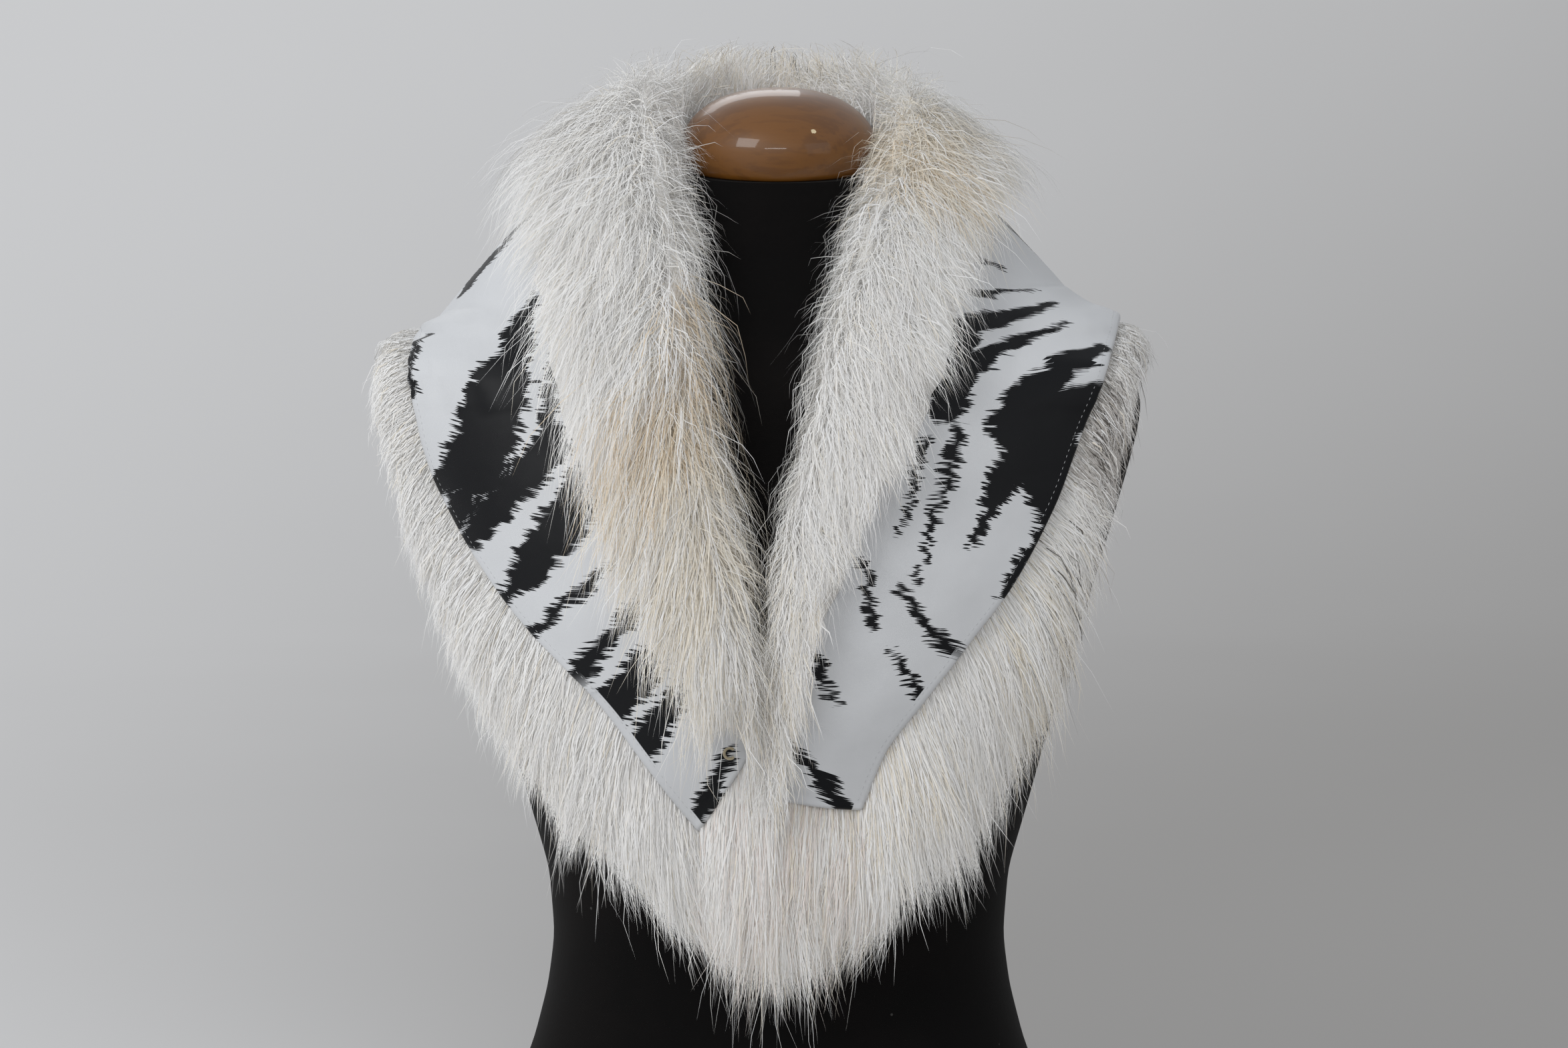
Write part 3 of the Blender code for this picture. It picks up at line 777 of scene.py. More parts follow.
@dataclass(frozen=True)
class PrintedSatin:
    """White satin with black strokes whose edges break into fine level lines."""

    strokes: tuple[Stroke, ...]
    ground: tuple[float, float, float] = (0.70, 0.715, 0.735)
    ink: tuple[float, float, float] = (0.0045, 0.005, 0.0065)
    line_pitch: float = 0.00105
    feather: float = 0.0060
    lean: float = 0.18
    margin: float = 0.0042
    margin_length: float = 0.095

    def material(self, name: str, effects: Effects) -> Material:
        """Builds the material.

        Args:
            name: the material's name.
            effects: the shared effects.

        Returns:
            The material, which reads the piece's own maps named Cloth and Hem.
        """
        p, shader = new_material(
            name, Sheen_Weight=0.05, Sheen_Roughness=0.35, Specular_IOR_Level=0.22
        )
        cloth = p.node("ShaderNodeUVMap", uv_map="Cloth").outputs[0]
        parts = p.node("ShaderNodeSeparateXYZ", {0: cloth})
        across, along = parts.outputs[0], parts.outputs[1]
        sway = p.noise(cloth, 16, 1).outputs[0]
        tilt = p.math("MULTIPLY_ADD", p.noise(cloth, 9, 0).outputs[0], 0.3, self.lean - 0.22)
        leaned = p.math("MULTIPLY_ADD", across, p.math("MULTIPLY", tilt, 1.0), along)
        leaned = p.math("MULTIPLY_ADD", sway, 0.02, leaned)
        lines = p.math("DIVIDE", leaned, self.line_pitch)
        number = p.math("FLOOR", lines)
        seeds = p.node("ShaderNodeTexWhiteNoise", {"W": number}, noise_dimensions="1D")
        jump = p.math("SUBTRACT", seeds.outputs[0], 0.5)
        shift = p.math("MULTIPLY_ADD", jump, self.feather * 1.15, across)
        wander = p.noise(cloth, 55, 2, 0.6)
        bend = p.vector("SUBTRACT", wander.outputs["Color"], (0.5, 0.5, 0.5)).outputs[0]
        bend = p.node("ShaderNodeVectorMath", {0: bend, "Scale": 0.013}, operation="SCALE")
        moved = p.node("ShaderNodeCombineXYZ", {0: shift, 1: along}).outputs[0]
        moved = p.vector("ADD", moved, bend.outputs[0]).outputs[0]
        nearest: Socket | None = None
        for stroke in self.strokes:
            made = p.group(
                effects.stroke,
                {
                    "Cloth": moved,
                    "From": (stroke.start[0] * MM, stroke.start[1] * MM, 0),
                    "To": (stroke.end[0] * MM, stroke.end[1] * MM, 0),
                    "From Width": stroke.widths[0] * MM,
                    "To Width": stroke.widths[1] * MM,
                },
            )
            gap = made.outputs[0]
            nearest = gap if nearest is None else p.math("MINIMUM", nearest, gap)
        ridge = p.math("ABSOLUTE", p.math("SUBTRACT", p.math("FRACT", lines), 0.5))
        edge = p.math("MULTIPLY_ADD", ridge, self.feather * 0.7, nearest)
        inked = p.spread(edge, 0.0016, 0.0010)
        hem = p.node("ShaderNodeSeparateXYZ", {0: p.node("ShaderNodeUVMap", uv_map="Hem").outputs[0]})
        inside = p.spread(hem.outputs[0], self.margin, self.margin + 0.0005)
        inside = p.math("MAXIMUM", inside, p.spread(hem.outputs[1], self.margin_length, self.margin_length + 0.02))
        inked = p.math("MULTIPLY", inked, inside)
        cloud = p.noise(cloth, 22, 3).outputs[0]
        ground = p.mix(p.spread(cloud, 0.3, 0.7), self.ground, tuple(c * 1.05 for c in self.ground))
        p.feed(shader.inputs["Base Color"], p.mix(inked, ground, self.ink))
        p.feed(shader.inputs["Roughness"], p.spread(cloud, 0.2, 0.8, 0.40, 0.52))
        weave = p.group(effects.weave, {"Place": cloth, "Pitch": 0.0009})
        soft = p.noise(cloth, 38, 2).outputs[0]
        height = p.math("MULTIPLY_ADD", soft, 3.0, p.math("MULTIPLY", weave.outputs[0], 0.12))
        bump = p.node("ShaderNodeBump", {"Strength": 0.25, "Distance": 0.001, "Height": height})
        p.feed(shader.inputs["Normal"], bump.outputs[0])
        return material_of(p)


@dataclass(frozen=True)
class PlainCloth:
    """An unprinted woven tape, thread or suede: a tone, its mottling and its roughness."""

    name: str
    tone: tuple[float, float, float]
    mottle: float = 0.08
    rough: tuple[float, float] = (0.55, 0.7)
    pitch: float = 0.0009
    depth: float = 0.0002

    def material(self, effects: Effects) -> Material:
        """Builds the material from its tone, on Object coordinates."""
        p, shader = new_material(self.name, Sheen_Weight=0.1, Specular_IOR_Level=0.4)
        place = p.node("ShaderNodeTexCoord").outputs["Object"]
        cloud = p.noise(place, 60, 3).outputs[0]
        darker = tuple(c * (1 - self.mottle) for c in self.tone)
        p.feed(shader.inputs["Base Color"], p.mix(p.spread(cloud, 0.3, 0.7), darker, self.tone))
        p.feed(shader.inputs["Roughness"], p.spread(cloud, 0.2, 0.8, *self.rough))
        weave = p.group(effects.weave, {"Place": place, "Pitch": self.pitch})
        height = p.math("ADD", weave.outputs[0], cloud)
        bump = p.node("ShaderNodeBump", {"Strength": 0.5, "Distance": self.depth, "Height": height})
        p.feed(shader.inputs["Normal"], bump.outputs[0])
        return material_of(p)


@dataclass(frozen=True)
class FurFinish:
    """The hair itself, and the dense down that it grows from, both glowing faintly with painted light."""

    sheen: float = 0.25
    # Painted light: the hair and the down glow faintly in their own colours, standing in for light that passes
    # through and between the hairs.
    glow: float = 0.035

    def hair(self, effects: Effects) -> Material:
        """The material of single hairs, which reads the map named StrandMap."""
        p, shader = new_material(
            "fur_hair", Sheen_Weight=self.sheen, Sheen_Roughness=0.4, Specular_IOR_Level=0.15,
            Emission_Strength=self.glow,
        )
        strand = p.node("ShaderNodeUVMap", uv_map="StrandMap").outputs[0]
        shade = p.group(effects.hair_shade, {"Strand": strand})
        p.feed(shader.inputs["Base Color"], shade.outputs[0])
        # Painted light: the hair glows faintly in its own colour.
        p.feed(shader.inputs["Emission Color"], shade.outputs[0])
        parts = p.node("ShaderNodeSeparateXYZ", {0: strand})
        p.feed(shader.inputs["Roughness"], p.spread(parts.outputs[1], 0, 1, 0.72, 0.5))
        return material_of(p)

    def down(self) -> Material:
        """The material of the matted down, streaked along the map named Comb."""
        p, shader = new_material(
            "fur_down", Sheen_Weight=self.sheen, Specular_IOR_Level=0.1, Emission_Strength=self.glow
        )
        comb = p.node("ShaderNodeUVMap", uv_map="Comb").outputs[0]
        streak = p.noise(p.stretched(comb, (900, 60, 1)), 1.0, 4, 0.6).outputs[0]
        tint = p.node("ShaderNodeAttribute", attribute_name="Tint").outputs["Color"]
        shadow = p.vector("MULTIPLY", tint, (0.93, 0.91, 0.88)).outputs[0]
        colour = p.mix(p.spread(streak, 0.3, 0.65), shadow, tint)
        p.feed(shader.inputs["Base Color"], colour)
        # Painted light: the down glows faintly in its own colour.
        p.feed(shader.inputs["Emission Color"], colour)
        p.feed(shader.inputs["Roughness"], p.spread(streak, 0.3, 0.7, 0.85, 0.7))
        bump = p.node("ShaderNodeBump", {"Strength": 0.9, "Distance": 0.002, "Height": streak})
        p.feed(shader.inputs["Normal"], bump.outputs[0])
        return material_of(p)


@dataclass(frozen=True)
class StudioPaper:
    """The pale seamless backdrop, which glows faintly so that its light is even; the glow and its grading are
    painted light.
    """

    # Painted light: the lit and the shaded tones of the glowing paper.
    pale: tuple[float, float, float] = (0.60, 0.605, 0.615)
    dim: tuple[float, float, float] = (0.27, 0.266, 0.263)
    glow: float = 0.79

    def material(self) -> Material:
        """Builds the material: painted light, paler on the left and up the wall and darker on the right and on the
        floor near the middle, with the faintest cloud.
        """
        p, shader = new_material("studio_paper", Specular_IOR_Level=0.1, Emission_Strength=self.glow)
        place = p.node("ShaderNodeTexCoord").outputs["Object"]
        cloud = p.noise(place, 1.4, 3).outputs[0]
        parts = p.node("ShaderNodeSeparateXYZ", {0: place})
        flat = p.node("ShaderNodeCombineXYZ", {0: parts.outputs[0], 1: parts.outputs[1]}).outputs[0]
        far = p.vector("LENGTH", flat).outputs["Value"]
        turn = p.math("DIVIDE", parts.outputs[0], far)
        side = p.math("MULTIPLY_ADD", turn, 0.70, p.math("MULTIPLY", cloud, 0.04))
        side = p.math("MULTIPLY_ADD", far, -0.104, side)
        side = p.math("MULTIPLY_ADD", parts.outputs[2], -0.147, side)
        # Painted light: the glow fades from lit on the left and up the wall to shaded on the right and on the floor
        # near the middle.
        paper = p.mix(p.spread(side, -0.90, 0.10), self.pale, self.dim)
        p.feed(shader.inputs["Emission Color"], paper)
        p.feed(shader.inputs["Base Color"], p.mix(0.72, paper, (0.05, 0.05, 0.05)))
        p.feed(shader.inputs["Roughness"], p.spread(cloud, 0.3, 0.7, 0.85, 0.9))
        return material_of(p)


# ---------------------------------------------------------------- the form


@dataclass
class DressForm:
    """The limbless torso and its neck cap."""

    power: float = 2.3
    around: int = 112
    step: float = 0.006
    cap_tilt: float = 9.0
    cap_foot: tuple[float, float, float] = (0.0, 0.001, 0.670)

    def rings(self) -> np.ndarray:
        """The torso's level outlines, eased between the table's heights."""
        table = np.array(FORM_TABLE, float)
        levels = np.linspace(0, table[-1, 0], round(table[-1, 0] * MM / self.step) + 1)
        sizes = np.stack([np.interp(levels, table[:, 0], table[:, k]) for k in (1, 2, 3, 4)], 1)
        sizes[2:] = eased(sizes, 1.0)[2:]
        turn = np.arange(self.around) / self.around * 2 * math.pi
        wide = np.sign(np.cos(turn)) * np.abs(np.cos(turn)) ** (2 / self.power)
        deep = np.sign(np.sin(turn)) * np.abs(np.sin(turn)) ** (2 / self.power)
        depth = np.where(np.sin(turn)[None] < 0, sizes[:, 1:2], sizes[:, 2:3])
        x, y = sizes[:, :1] * wide, depth * deep
        z = levels[:, None] + y * np.tan(np.radians(sizes[:, 3:4]))
        return np.stack([x, y, z + 0 * x], axis=-1) * MM

    def torso(self, finish: Material) -> Object:
        """Lofts the torso."""
        obj = loft_rings("form_body", self.rings())
        smooth(obj, 50)
        return dress(obj, finish, "black_jersey", "form_torso")

    def cap(self, finish: Material) -> Object:
        """Turns the neck cap and tilts it onto the neck."""
        profile = smooth_rows(CAP_PROFILE, 60)
        profile[-1, 0] = 0.0
        turn = np.arange(self.around) / self.around * 2 * math.pi
        x = profile[:, :1] * np.cos(turn)
        y = profile[:, :1] * np.sin(turn)
        z = profile[:, 1:2] + 0 * x
        tilt = math.radians(self.cap_tilt)
        tilted = np.stack(
            [x, y * math.cos(tilt) - z * math.sin(tilt), y * math.sin(tilt) + z * math.cos(tilt)],
            axis=-1,
        )
        obj = loft_rings("neck_cap", tilted * MM + np.array(self.cap_foot), closed_tip=True)
        smooth(obj, 50)
        return dress(obj, finish, "varnished_wood", "form_cap")

    def build(self, jersey: Material, varnish: Material) -> None:
        """Builds both pieces."""
        self.torso(jersey)
        self.cap(varnish)


# ---------------------------------------------------------------- the strip


@dataclass
class Strip:
    """The skin side of one half of the wrap, finely sampled from the front end to the back.

    fold, outer and tip are the neck edge, the outer edge and where the hair ends. run covers the
    width from the fold to the outer edge; folded covers the flap, the round of the fold and the run.
    """

    side: Side
    rows: int = 120
    columns: int = 44
    lift: float = 0.016
    flap_share: float = 0.45
    fold: np.ndarray = field(init=False)
    outer: np.ndarray = field(init=False)
    tip: np.ndarray = field(init=False)

    def __post_init__(self) -> None:
        """Samples the table and lays the strip's surfaces."""
        table = LEFT_TABLE if self.side is Side.LEFT else RIGHT_TABLE
        rows = smooth_rows(table, self.rows)
        self.sign = -1 if self.side is Side.LEFT else 1
        rows[-1, 0:9:3] = self.sign * 0.05
        self.fold, self.outer, self.tip = (rows[:, k : k + 3] * MM for k in (0, 3, 6))
        self.crown, self.radius, self.pile = (rows[:, k] * MM for k in (9, 10, 11))
        self.reach = rows[:, 12]
        self.width = np.linalg.norm(self.outer - self.fold, axis=1)
        self.across = unit(self.outer - self.fold)
        along = np.gradient((self.fold + self.outer) / 2, axis=0)
        arch = np.cross(along, self.across)
        off_axis = (self.fold + self.outer) * (1, 1, 0)
        self.turn = 1 if np.sum(off_axis * arch) > 0 else -1
        self.arch = unit(arch) * self.turn
        self.shares = np.linspace(0, 1, self.columns)
        self.run = self.surface(np.repeat(self.shares[None], self.rows, 0))
        self.away = self.facing(self.run)
        self.folded = self.fold_over()
        self.folded_away = self.facing(self.folded)

    def surface(self, shares: np.ndarray) -> np.ndarray:
        """Points of the skin side at shares of the width, (row, column)."""
        spread = shares[:, :, None]
        bow = np.sin(np.pi * shares)[:, :, None] * self.crown[:, None, None]
        flat = self.fold[:, None] * (1 - spread) + self.outer[:, None] * spread
        return clear_of_form(flat + bow * self.arch[:, None], self.lift)

    def facing(self, grid: np.ndarray) -> np.ndarray:
        """Unit normals of a grid, towards the lining."""
        away = np.cross(np.gradient(grid, axis=0), np.gradient(grid, axis=1))
        return unit(eased(unit(away) * self.turn, 1.0))

    def fold_over(self) -> np.ndarray:
        """The flap's edge, over the fold, to the outer edge."""
        flap = np.linspace(1, 0, 9)[None] * (self.reach * self.flap_share)[:, None]
        under = self.surface(flap)
        away = self.facing(under[:, ::-1])
        away = away[:, ::-1]
        radius = self.radius[:, None]
        lying = under + away * (2 * radius[:, None])
        centre = under[:, -1] + away[:, -1] * radius
        arc = []
        for angle in range(20, 180, 20):
            turn = math.radians(angle)
            spoke = away[:, -1] * math.cos(turn) - self.across * math.sin(turn)
            arc.append(centre + spoke * radius)
        return np.concatenate([lying, np.stack(arc, axis=1), self.run], axis=1)

    def unrolled(self, grid: np.ndarray) -> np.ndarray:
        """Lays the cloth flat: level and upright as it hangs in front, unrolled past the shoulder."""
        rows, columns = grid.shape[:2]
        flat = grid[:, :, (0, 2)].copy()
        turned = int(rows * 0.60)
        for row in range(turned, rows):
            step = np.linalg.norm(grid[row] - grid[row - 1], axis=1)
            chord = flat[row - 1, -1] - flat[row - 1, 0]
            chord /= np.linalg.norm(chord)
            ahead = np.array([-chord[1], chord[0]])
            if ahead[1] < 0:
                ahead = -ahead
            first = flat[row - 1, 0] + ahead * step[0]
            last = flat[row - 1, -1] + ahead * step[-1]
            widths = np.linalg.norm(np.diff(grid[row], axis=0), axis=1)
            share = np.concatenate([[0], np.cumsum(widths)])
            way = (last - first) / np.linalg.norm(last - first)
            flat[row] = first + way * share[:, None]
        return flat


# ---------------------------------------------------------------- hair


@dataclass(frozen=True)
class Coat:
    """One kind of hair: how many, how long, how wide, and how it gathers in locks."""

    count: int
    segments: int
    width: float
    shortest: float
    longest: float
    locks: float
    gather: float
    stray: float
    wave: float
    thinning: float = 1.0

    def draw(self, rng: np.random.Generator, count: int) -> np.ndarray:
        """Draws lengths as shares of the guide's, fewer of the long ones."""
        return self.shortest + (self.longest - self.shortest) * rng.random(count) ** self.thinning


@dataclass
class Barber:
    """Grows, gathers and clears hair, and makes it into meshes."""

    seed: int
    cloth: BVHTree

    def __post_init__(self) -> None:
        """Starts the seeded draws."""
        self.rng = np.random.default_rng(self.seed)

    def scatter(self, grid: np.ndarray, weight: np.ndarray, count: int) -> tuple[np.ndarray, ...]:
        """Draws places on a grid in proportion to area times weight.

        Args:
            grid: points as (row, column, 3).
            weight: how thickly each cell is set, (row - 1, column - 1).
            count: how many places to draw.

        Returns:
            The fractional rows and columns of the places.
        """
        along = np.linalg.norm(grid[1:, :-1] - grid[:-1, :-1], axis=-1)
        across = np.linalg.norm(grid[:-1, 1:] - grid[:-1, :-1], axis=-1)
        share = (along * across * weight).ravel()
        picks = self.rng.choice(len(share), size=count, p=share / share.sum())
        row, column = np.divmod(picks, weight.shape[1])
        return row + self.rng.random(count), column + self.rng.random(count)

    @staticmethod
    def sample(field_: np.ndarray, row: np.ndarray, column: np.ndarray | None = None) -> np.ndarray:
        """Reads an array between its rows, and between its columns where they are given."""
        r = np.clip(row.astype(int), 0, field_.shape[0] - 2)
        a = row - r
        a = a.reshape(a.shape + (1,) * (field_.ndim - (1 if column is None else 2)))
        if column is None:
            return field_[r] * (1 - a) + field_[r + 1] * a
        c = np.clip(column.astype(int), 0, field_.shape[1] - 2)
        b = (column - c).reshape(a.shape)
        top = field_[r, c] * (1 - b) + field_[r, c + 1] * b
        low = field_[r + 1, c] * (1 - b) + field_[r + 1, c + 1] * b
        return top * (1 - a) + low * a

    def grow(
        self, roots: np.ndarray, ways: tuple[np.ndarray, ...], lengths: np.ndarray, coat: Coat
    ) -> np.ndarray:
        """Curves from the roots, bent through three directions.

        Args:
            roots: where the hairs start.
            ways: unit directions near the root, at the middle and at the tip.
            lengths: the hairs' lengths.
            coat: the kind of hair.

        Returns:
            Points as (hair, place along it, 3).
        """
        t = np.linspace(0, 1, coat.segments + 1)[None, :, None]
        third = (lengths / 3)[:, None]
        stops = [roots]
        for way in ways:
            stops.append(stops[-1] + way * third)
        p0, p1, p2, p3 = (stop[:, None] for stop in stops)
        return p0 * (1 - t) ** 3 + 3 * p1 * t * (1 - t) ** 2 + 3 * p2 * t**2 * (1 - t) + p3 * t**3

    def gather(self, curves: np.ndarray, coat: Coat) -> np.ndarray:
        """Draws hairs towards their lock's leading hair, more and more towards the tip."""
        count, stops = curves.shape[:2]
        free = self.rng.random(count) < coat.stray
        t = np.linspace(0, 1, stops)[None, :, None]
        for share, strength in ((coat.locks, coat.gather), (coat.locks / 9, coat.gather * 0.45)):
            leaders = self.rng.choice(count, size=max(12, int(count * share)), replace=False)
            tree = KDTree(len(leaders))
            for place, leader in enumerate(leaders):
                tree.insert(Vector(curves[leader, 1]), place)
            tree.balance()
            nearest = [tree.find(Vector(root))[1] for root in curves[:, 1]]
            lead = curves[leaders[np.array(nearest)]]
            pull = strength * self.rng.uniform(0.15, 1.35, (count, 1, 1)).clip(0, 1.25) * t**1.25
            pull = np.where(free[:, None, None], pull * 0.1, pull)
            curves = curves + (lead - curves) * pull
        return curves

    def crimp(self, curves: np.ndarray, coat: Coat) -> np.ndarray:
        """Gives each hair its own slight wave."""
        count, stops = curves.shape[:2]
        t = np.linspace(0, 1, stops)[None, :, None]
        side = unit(self.rng.normal(size=(count, 1, 3)))
        phase = self.rng.random((count, 1, 1)) * 2 * math.pi
        bow = unit(self.rng.normal(size=(count, 1, 3))) * self.rng.uniform(0, 2.2, (count, 1, 1))
        wave = side * np.sin(t * 8 + phase) + bow * t**2
        return curves + wave * coat.wave * np.minimum(t * 2, 1)

    def hold(self, curves: np.ndarray) -> np.ndarray:
        """Presses back what stands too far out in front, behind or on top."""
        held = curves.copy()
        for axis, sign, limit in ((1, -1, 0.179), (1, 1, 0.127), (2, 1, 0.738)):
            over = np.maximum(held[..., axis] * sign - limit, 0)
            held[..., axis] -= sign * (over - 0.010 * np.tanh(over / 0.018))
        return held

    def clear(self, curves: np.ndarray, form_gap: float, cloth_gap: float) -> np.ndarray:
        """Lifts hairs off the form and off the cloth that they lie over.

        Args:
            curves: the hairs.
            form_gap: the least distance from the form.
            cloth_gap: the least height over the cloth, or 0 to leave the cloth out.

        Returns:
            The cleared hairs.
        """
        count, stops = curves.shape[:2]
        t = np.linspace(0, 1, stops)
        cleared = curves.copy()
        cleared[:, 1:] = clear_of_form(curves[:, 1:], form_gap, passes=3)
        if cloth_gap:
            flat = cleared[:, 1:].reshape(-1, 3)
            gaps = np.tile(cloth_gap * (1.6 - t[1:]), count)
            gaps = gaps * np.repeat(self.rng.uniform(0.6, 1.6, count), stops - 1)
            for place, gap in enumerate(gaps):
                found, normal, _, far = self.cloth.find_nearest(Vector(flat[place]), 0.02)
                if found is None:
                    continue
                height = (Vector(flat[place]) - found).dot(normal)
                if height < gap and far < 0.02:
                    flat[place] += np.array(normal) * (gap - height)
            cleared[:, 1:] = flat.reshape(count, stops - 1, 3)
        return cleared

    def mesh(
        self, name: str, curves: np.ndarray, outward: np.ndarray, shades: np.ndarray, coat: Coat
    ) -> Object:
        """Makes each hair a flat tapering ribbon that faces outwards.

        Args:
            name: the piece's name.
            curves: the hairs.
            outward: the direction that faces out at each hair, (hair, 3).
            shades: each hair's place on the hair ramp.
            coat: the kind of hair.

        Returns:
            The piece.
        """
        count, stops = curves.shape[:2]
        t = np.linspace(0, 1, stops)
        tangent = unit(np.gradient(curves, axis=1))
        out = unit(outward[:, None] - tangent * dot(outward[:, None], tangent) + 1e-9)
        side = np.cross(tangent, out)
        twist = self.rng.uniform(-0.7, 0.7, (count, 1, 1))
        side = unit(side * np.cos(twist) + np.cross(tangent, side) * np.sin(twist))
        taper = coat.width * (1 - 0.72 * t**2)[None, :, None]
        half = side * taper * self.rng.uniform(0.55, 1.35, (count, 1, 1)) / 2
        left, right = curves - half, curves + half
        per = 2 * (stops - 1) + 1
        points = np.empty((count, per, 3), np.float32)
        normals = np.empty((count, per, 3), np.float32)
        points[:, 0:-1:2], points[:, 1:-1:2], points[:, -1] = left[:, :-1], right[:, :-1], curves[:, -1]
        tilt = unit(out + side * self.rng.uniform(-0.35, 0.35, (count, 1, 1)))
        normals[:, 0:-1:2] = unit(tilt - side * 0.45)[:, :-1]
        normals[:, 1:-1:2] = unit(tilt + side * 0.45)[:, :-1]
        normals[:, -1] = tilt[:, -1]
        faces = []
        for k in range(stops - 2):
            a = 2 * k
            faces += [(a, a + 1, a + 3), (a, a + 3, a + 2)]
        faces.append((per - 3, per - 2, per - 1))
        corners = (np.array(faces)[None] + (np.arange(count) * per)[:, None, None]).ravel()
        mesh = bpy.data.meshes.new(name)
        mesh.vertices.add(count * per)
        mesh.vertices.foreach_set("co", points.ravel())
        mesh.loops.add(len(corners))
        mesh.loops.foreach_set("vertex_index", corners.astype(np.int32))
        mesh.polygons.add(len(corners) // 3)
        mesh.polygons.foreach_set("loop_start", np.arange(0, len(corners), 3, dtype=np.int32))
        mesh.update(calc_edges=True)
        along = np.empty((count, per))
        along[:, 0:-1:2] = along[:, 1:-1:2] = t[:-1]
        along[:, -1] = 1
        over = np.zeros((count, per))
        over[:, 1:-1:2] = 0.004
        over[:, -1] = 0.002
        strand = np.stack([shades[:, None] + over, along], axis=-1).reshape(-1, 2)
        for label in ("StrandMap", "OFBake"):
            layer = mesh.uv_layers.new(name=label)
            layer.data.foreach_set("uv", strand[corners].astype(np.float32).ravel())
        mesh.normals_split_custom_set_from_vertices(normals.reshape(-1, 3))
        obj = bpy.data.objects.new(name, mesh)
        bpy.context.scene.collection.objects.link(obj)
        return obj

    def shades(self, roots: np.ndarray, side: Side) -> np.ndarray:
        """Draws each hair's shade by where it grows.

        Args:
            roots: where the hairs start.
            side: the half of the wrap.

        Returns:
            Each hair's place on the hair ramp.
        """
        draw = self.rng.random(len(roots))
        odds = shade_odds(roots, side)
        shade = (draw[:, None] > np.cumsum(odds, axis=1)).sum(axis=1).clip(0, len(Shade) - 1)
        return (shade + 0.06 + self.rng.random(len(roots)) * 0.86) / len(Shade)


def patch(points: np.ndarray, centre: tuple[float, float, float], size: tuple[float, float, float]) -> np.ndarray:
    """How far inside a soft-edged patch each point is, 1 at the centre and 0 outside it.

    Args:
        points: the points, in metres.
        centre: the patch's centre, in mm.
        size: its half sizes, in mm.

    Returns:
        One share for each point.
    """
    off = (points - np.array(centre) * MM) / (np.array(size) * MM)
    return np.clip(1.4 - 1.4 * np.linalg.norm(off, axis=-1), 0, 1)


def shade_odds(points: np.ndarray, side: Side) -> np.ndarray:
    """How likely each shade is at each point.

    Args:
        points: the points, in metres.
        side: the half of the wrap.

    Returns:
        Shares that add up to 1, (point, shade).
    """
    odds = np.zeros((len(points), len(Shade)))
    odds[:, Shade.WHITE.value] = 0.50
    odds[:, Shade.IVORY.value] = 0.24
    odds[:, Shade.BRIGHT.value] = 0.24
    odds[:, Shade.CREAM.value] = 0.03
    uneven = 0.55 + 0.9 * drift(points, 0.03, 4.0)[:, 0]

    def add(shade: Shade, amount: float, *where: Any) -> None:
        """Adds to a shade's odds inside a patch."""
        odds[:, shade.value] += amount * np.clip(uneven, 0.1, 1.5) * patch(points, *where)

    if side is Side.LEFT:
        add(Shade.TAN, 3.0, (-44, -140, 590), (26, 60, 50))
        add(Shade.TAN, 2.0, (-66, -140, 535), (28, 60, 50))
        add(Shade.CREAM, 2.6, (-50, -150, 500), (45, 70, 90))
        add(Shade.CREAM, 0.7, (-30, -160, 420), (40, 70, 80))
    else:
        add(Shade.CREAM, 3.0, (72, -30, 690), (50, 60, 60))
        add(Shade.TAN, 0.9, (76, -40, 680), (35, 50, 45))
        add(Shade.CREAM, 0.6, (20, -150, 400), (50, 70, 90))
        # Painted shade: grey and dark hairs along the right outer edge, where it curves away from the light.
        add(Shade.GREY, 2.0, (196, -60, 500), (40, 60, 80))
        add(Shade.DARK, 0.8, (200, -60, 505), (32, 50, 60))
        add(Shade.CREAM, 1.0, (150, -90, 380), (50, 60, 70))
        # Painted shade: a few dark hairs lower down along the same edge.
        add(Shade.DARK, 0.22, (160, -80, 390), (40, 50, 80))
        add(Shade.CREAM, 0.9, (40, -130, 320), (70, 70, 50))
    add(Shade.BLUSH, 1.4, (5, -120, 260), (60, 60, 60))
    add(Shade.CREAM, 0.9, (15, -120, 230), (60, 60, 60))
    add(Shade.CREAM, 0.8, (0, 90, 730), (110, 60, 50))
    # Painted shade: a few dark hairs behind the neck cap, where the fur rises behind it.
    add(Shade.DARK, 0.16, (0, 90, 745), (70, 60, 40))
    return odds / odds.sum(axis=1, keepdims=True)


def comb_tint(obj: Object, side: Side, comb: tuple[int, int]) -> None:
    """Gives a down piece its colours and its combed map.

    Args:
        obj: the piece, a loft of rings.
        side: the half of the wrap.
        comb: how many rings, and how many places round each.
    """
    places = points_of(obj)
    colours = np.array([SHADE_COLOURS[shade] for shade in Shade])
    # The down takes the hairs' odds, painted shade included.
    tint = shade_odds(places, side) @ colours
    layer = obj.data.color_attributes.new("Tint", "FLOAT_COLOR", "POINT")
    layer.data.foreach_set("color", np.hstack([tint, np.ones((len(tint), 1))]).astype(np.float32).ravel())
    corner = np.empty(len(obj.data.loops), np.int32)
    obj.data.loops.foreach_get("vertex_index", corner)
    ring, place = np.divmod(corner, comb[1])
    flat = np.stack([ring / comb[0], place / comb[1]], axis=-1) * 0.6
    obj.data.uv_layers[0].name = "Comb"
    obj.data.uv_layers[0].data.foreach_set("uv", flat.astype(np.float32).ravel())


DOWN_COAT = Coat(16000, 3, 0.00066, 0.50, 0.95, 0.012, 0.20, 0.10, 0.0020)
GUARD_COAT = Coat(19000, 4, 0.00036, 0.70, 1.42, 0.010, 0.34, 0.24, 0.0026, 1.3)
FRINGE_COAT = Coat(19000, 4, 0.00038, 0.50, 1.42, 0.009, 0.66, 0.18, 0.0028, 1.7)


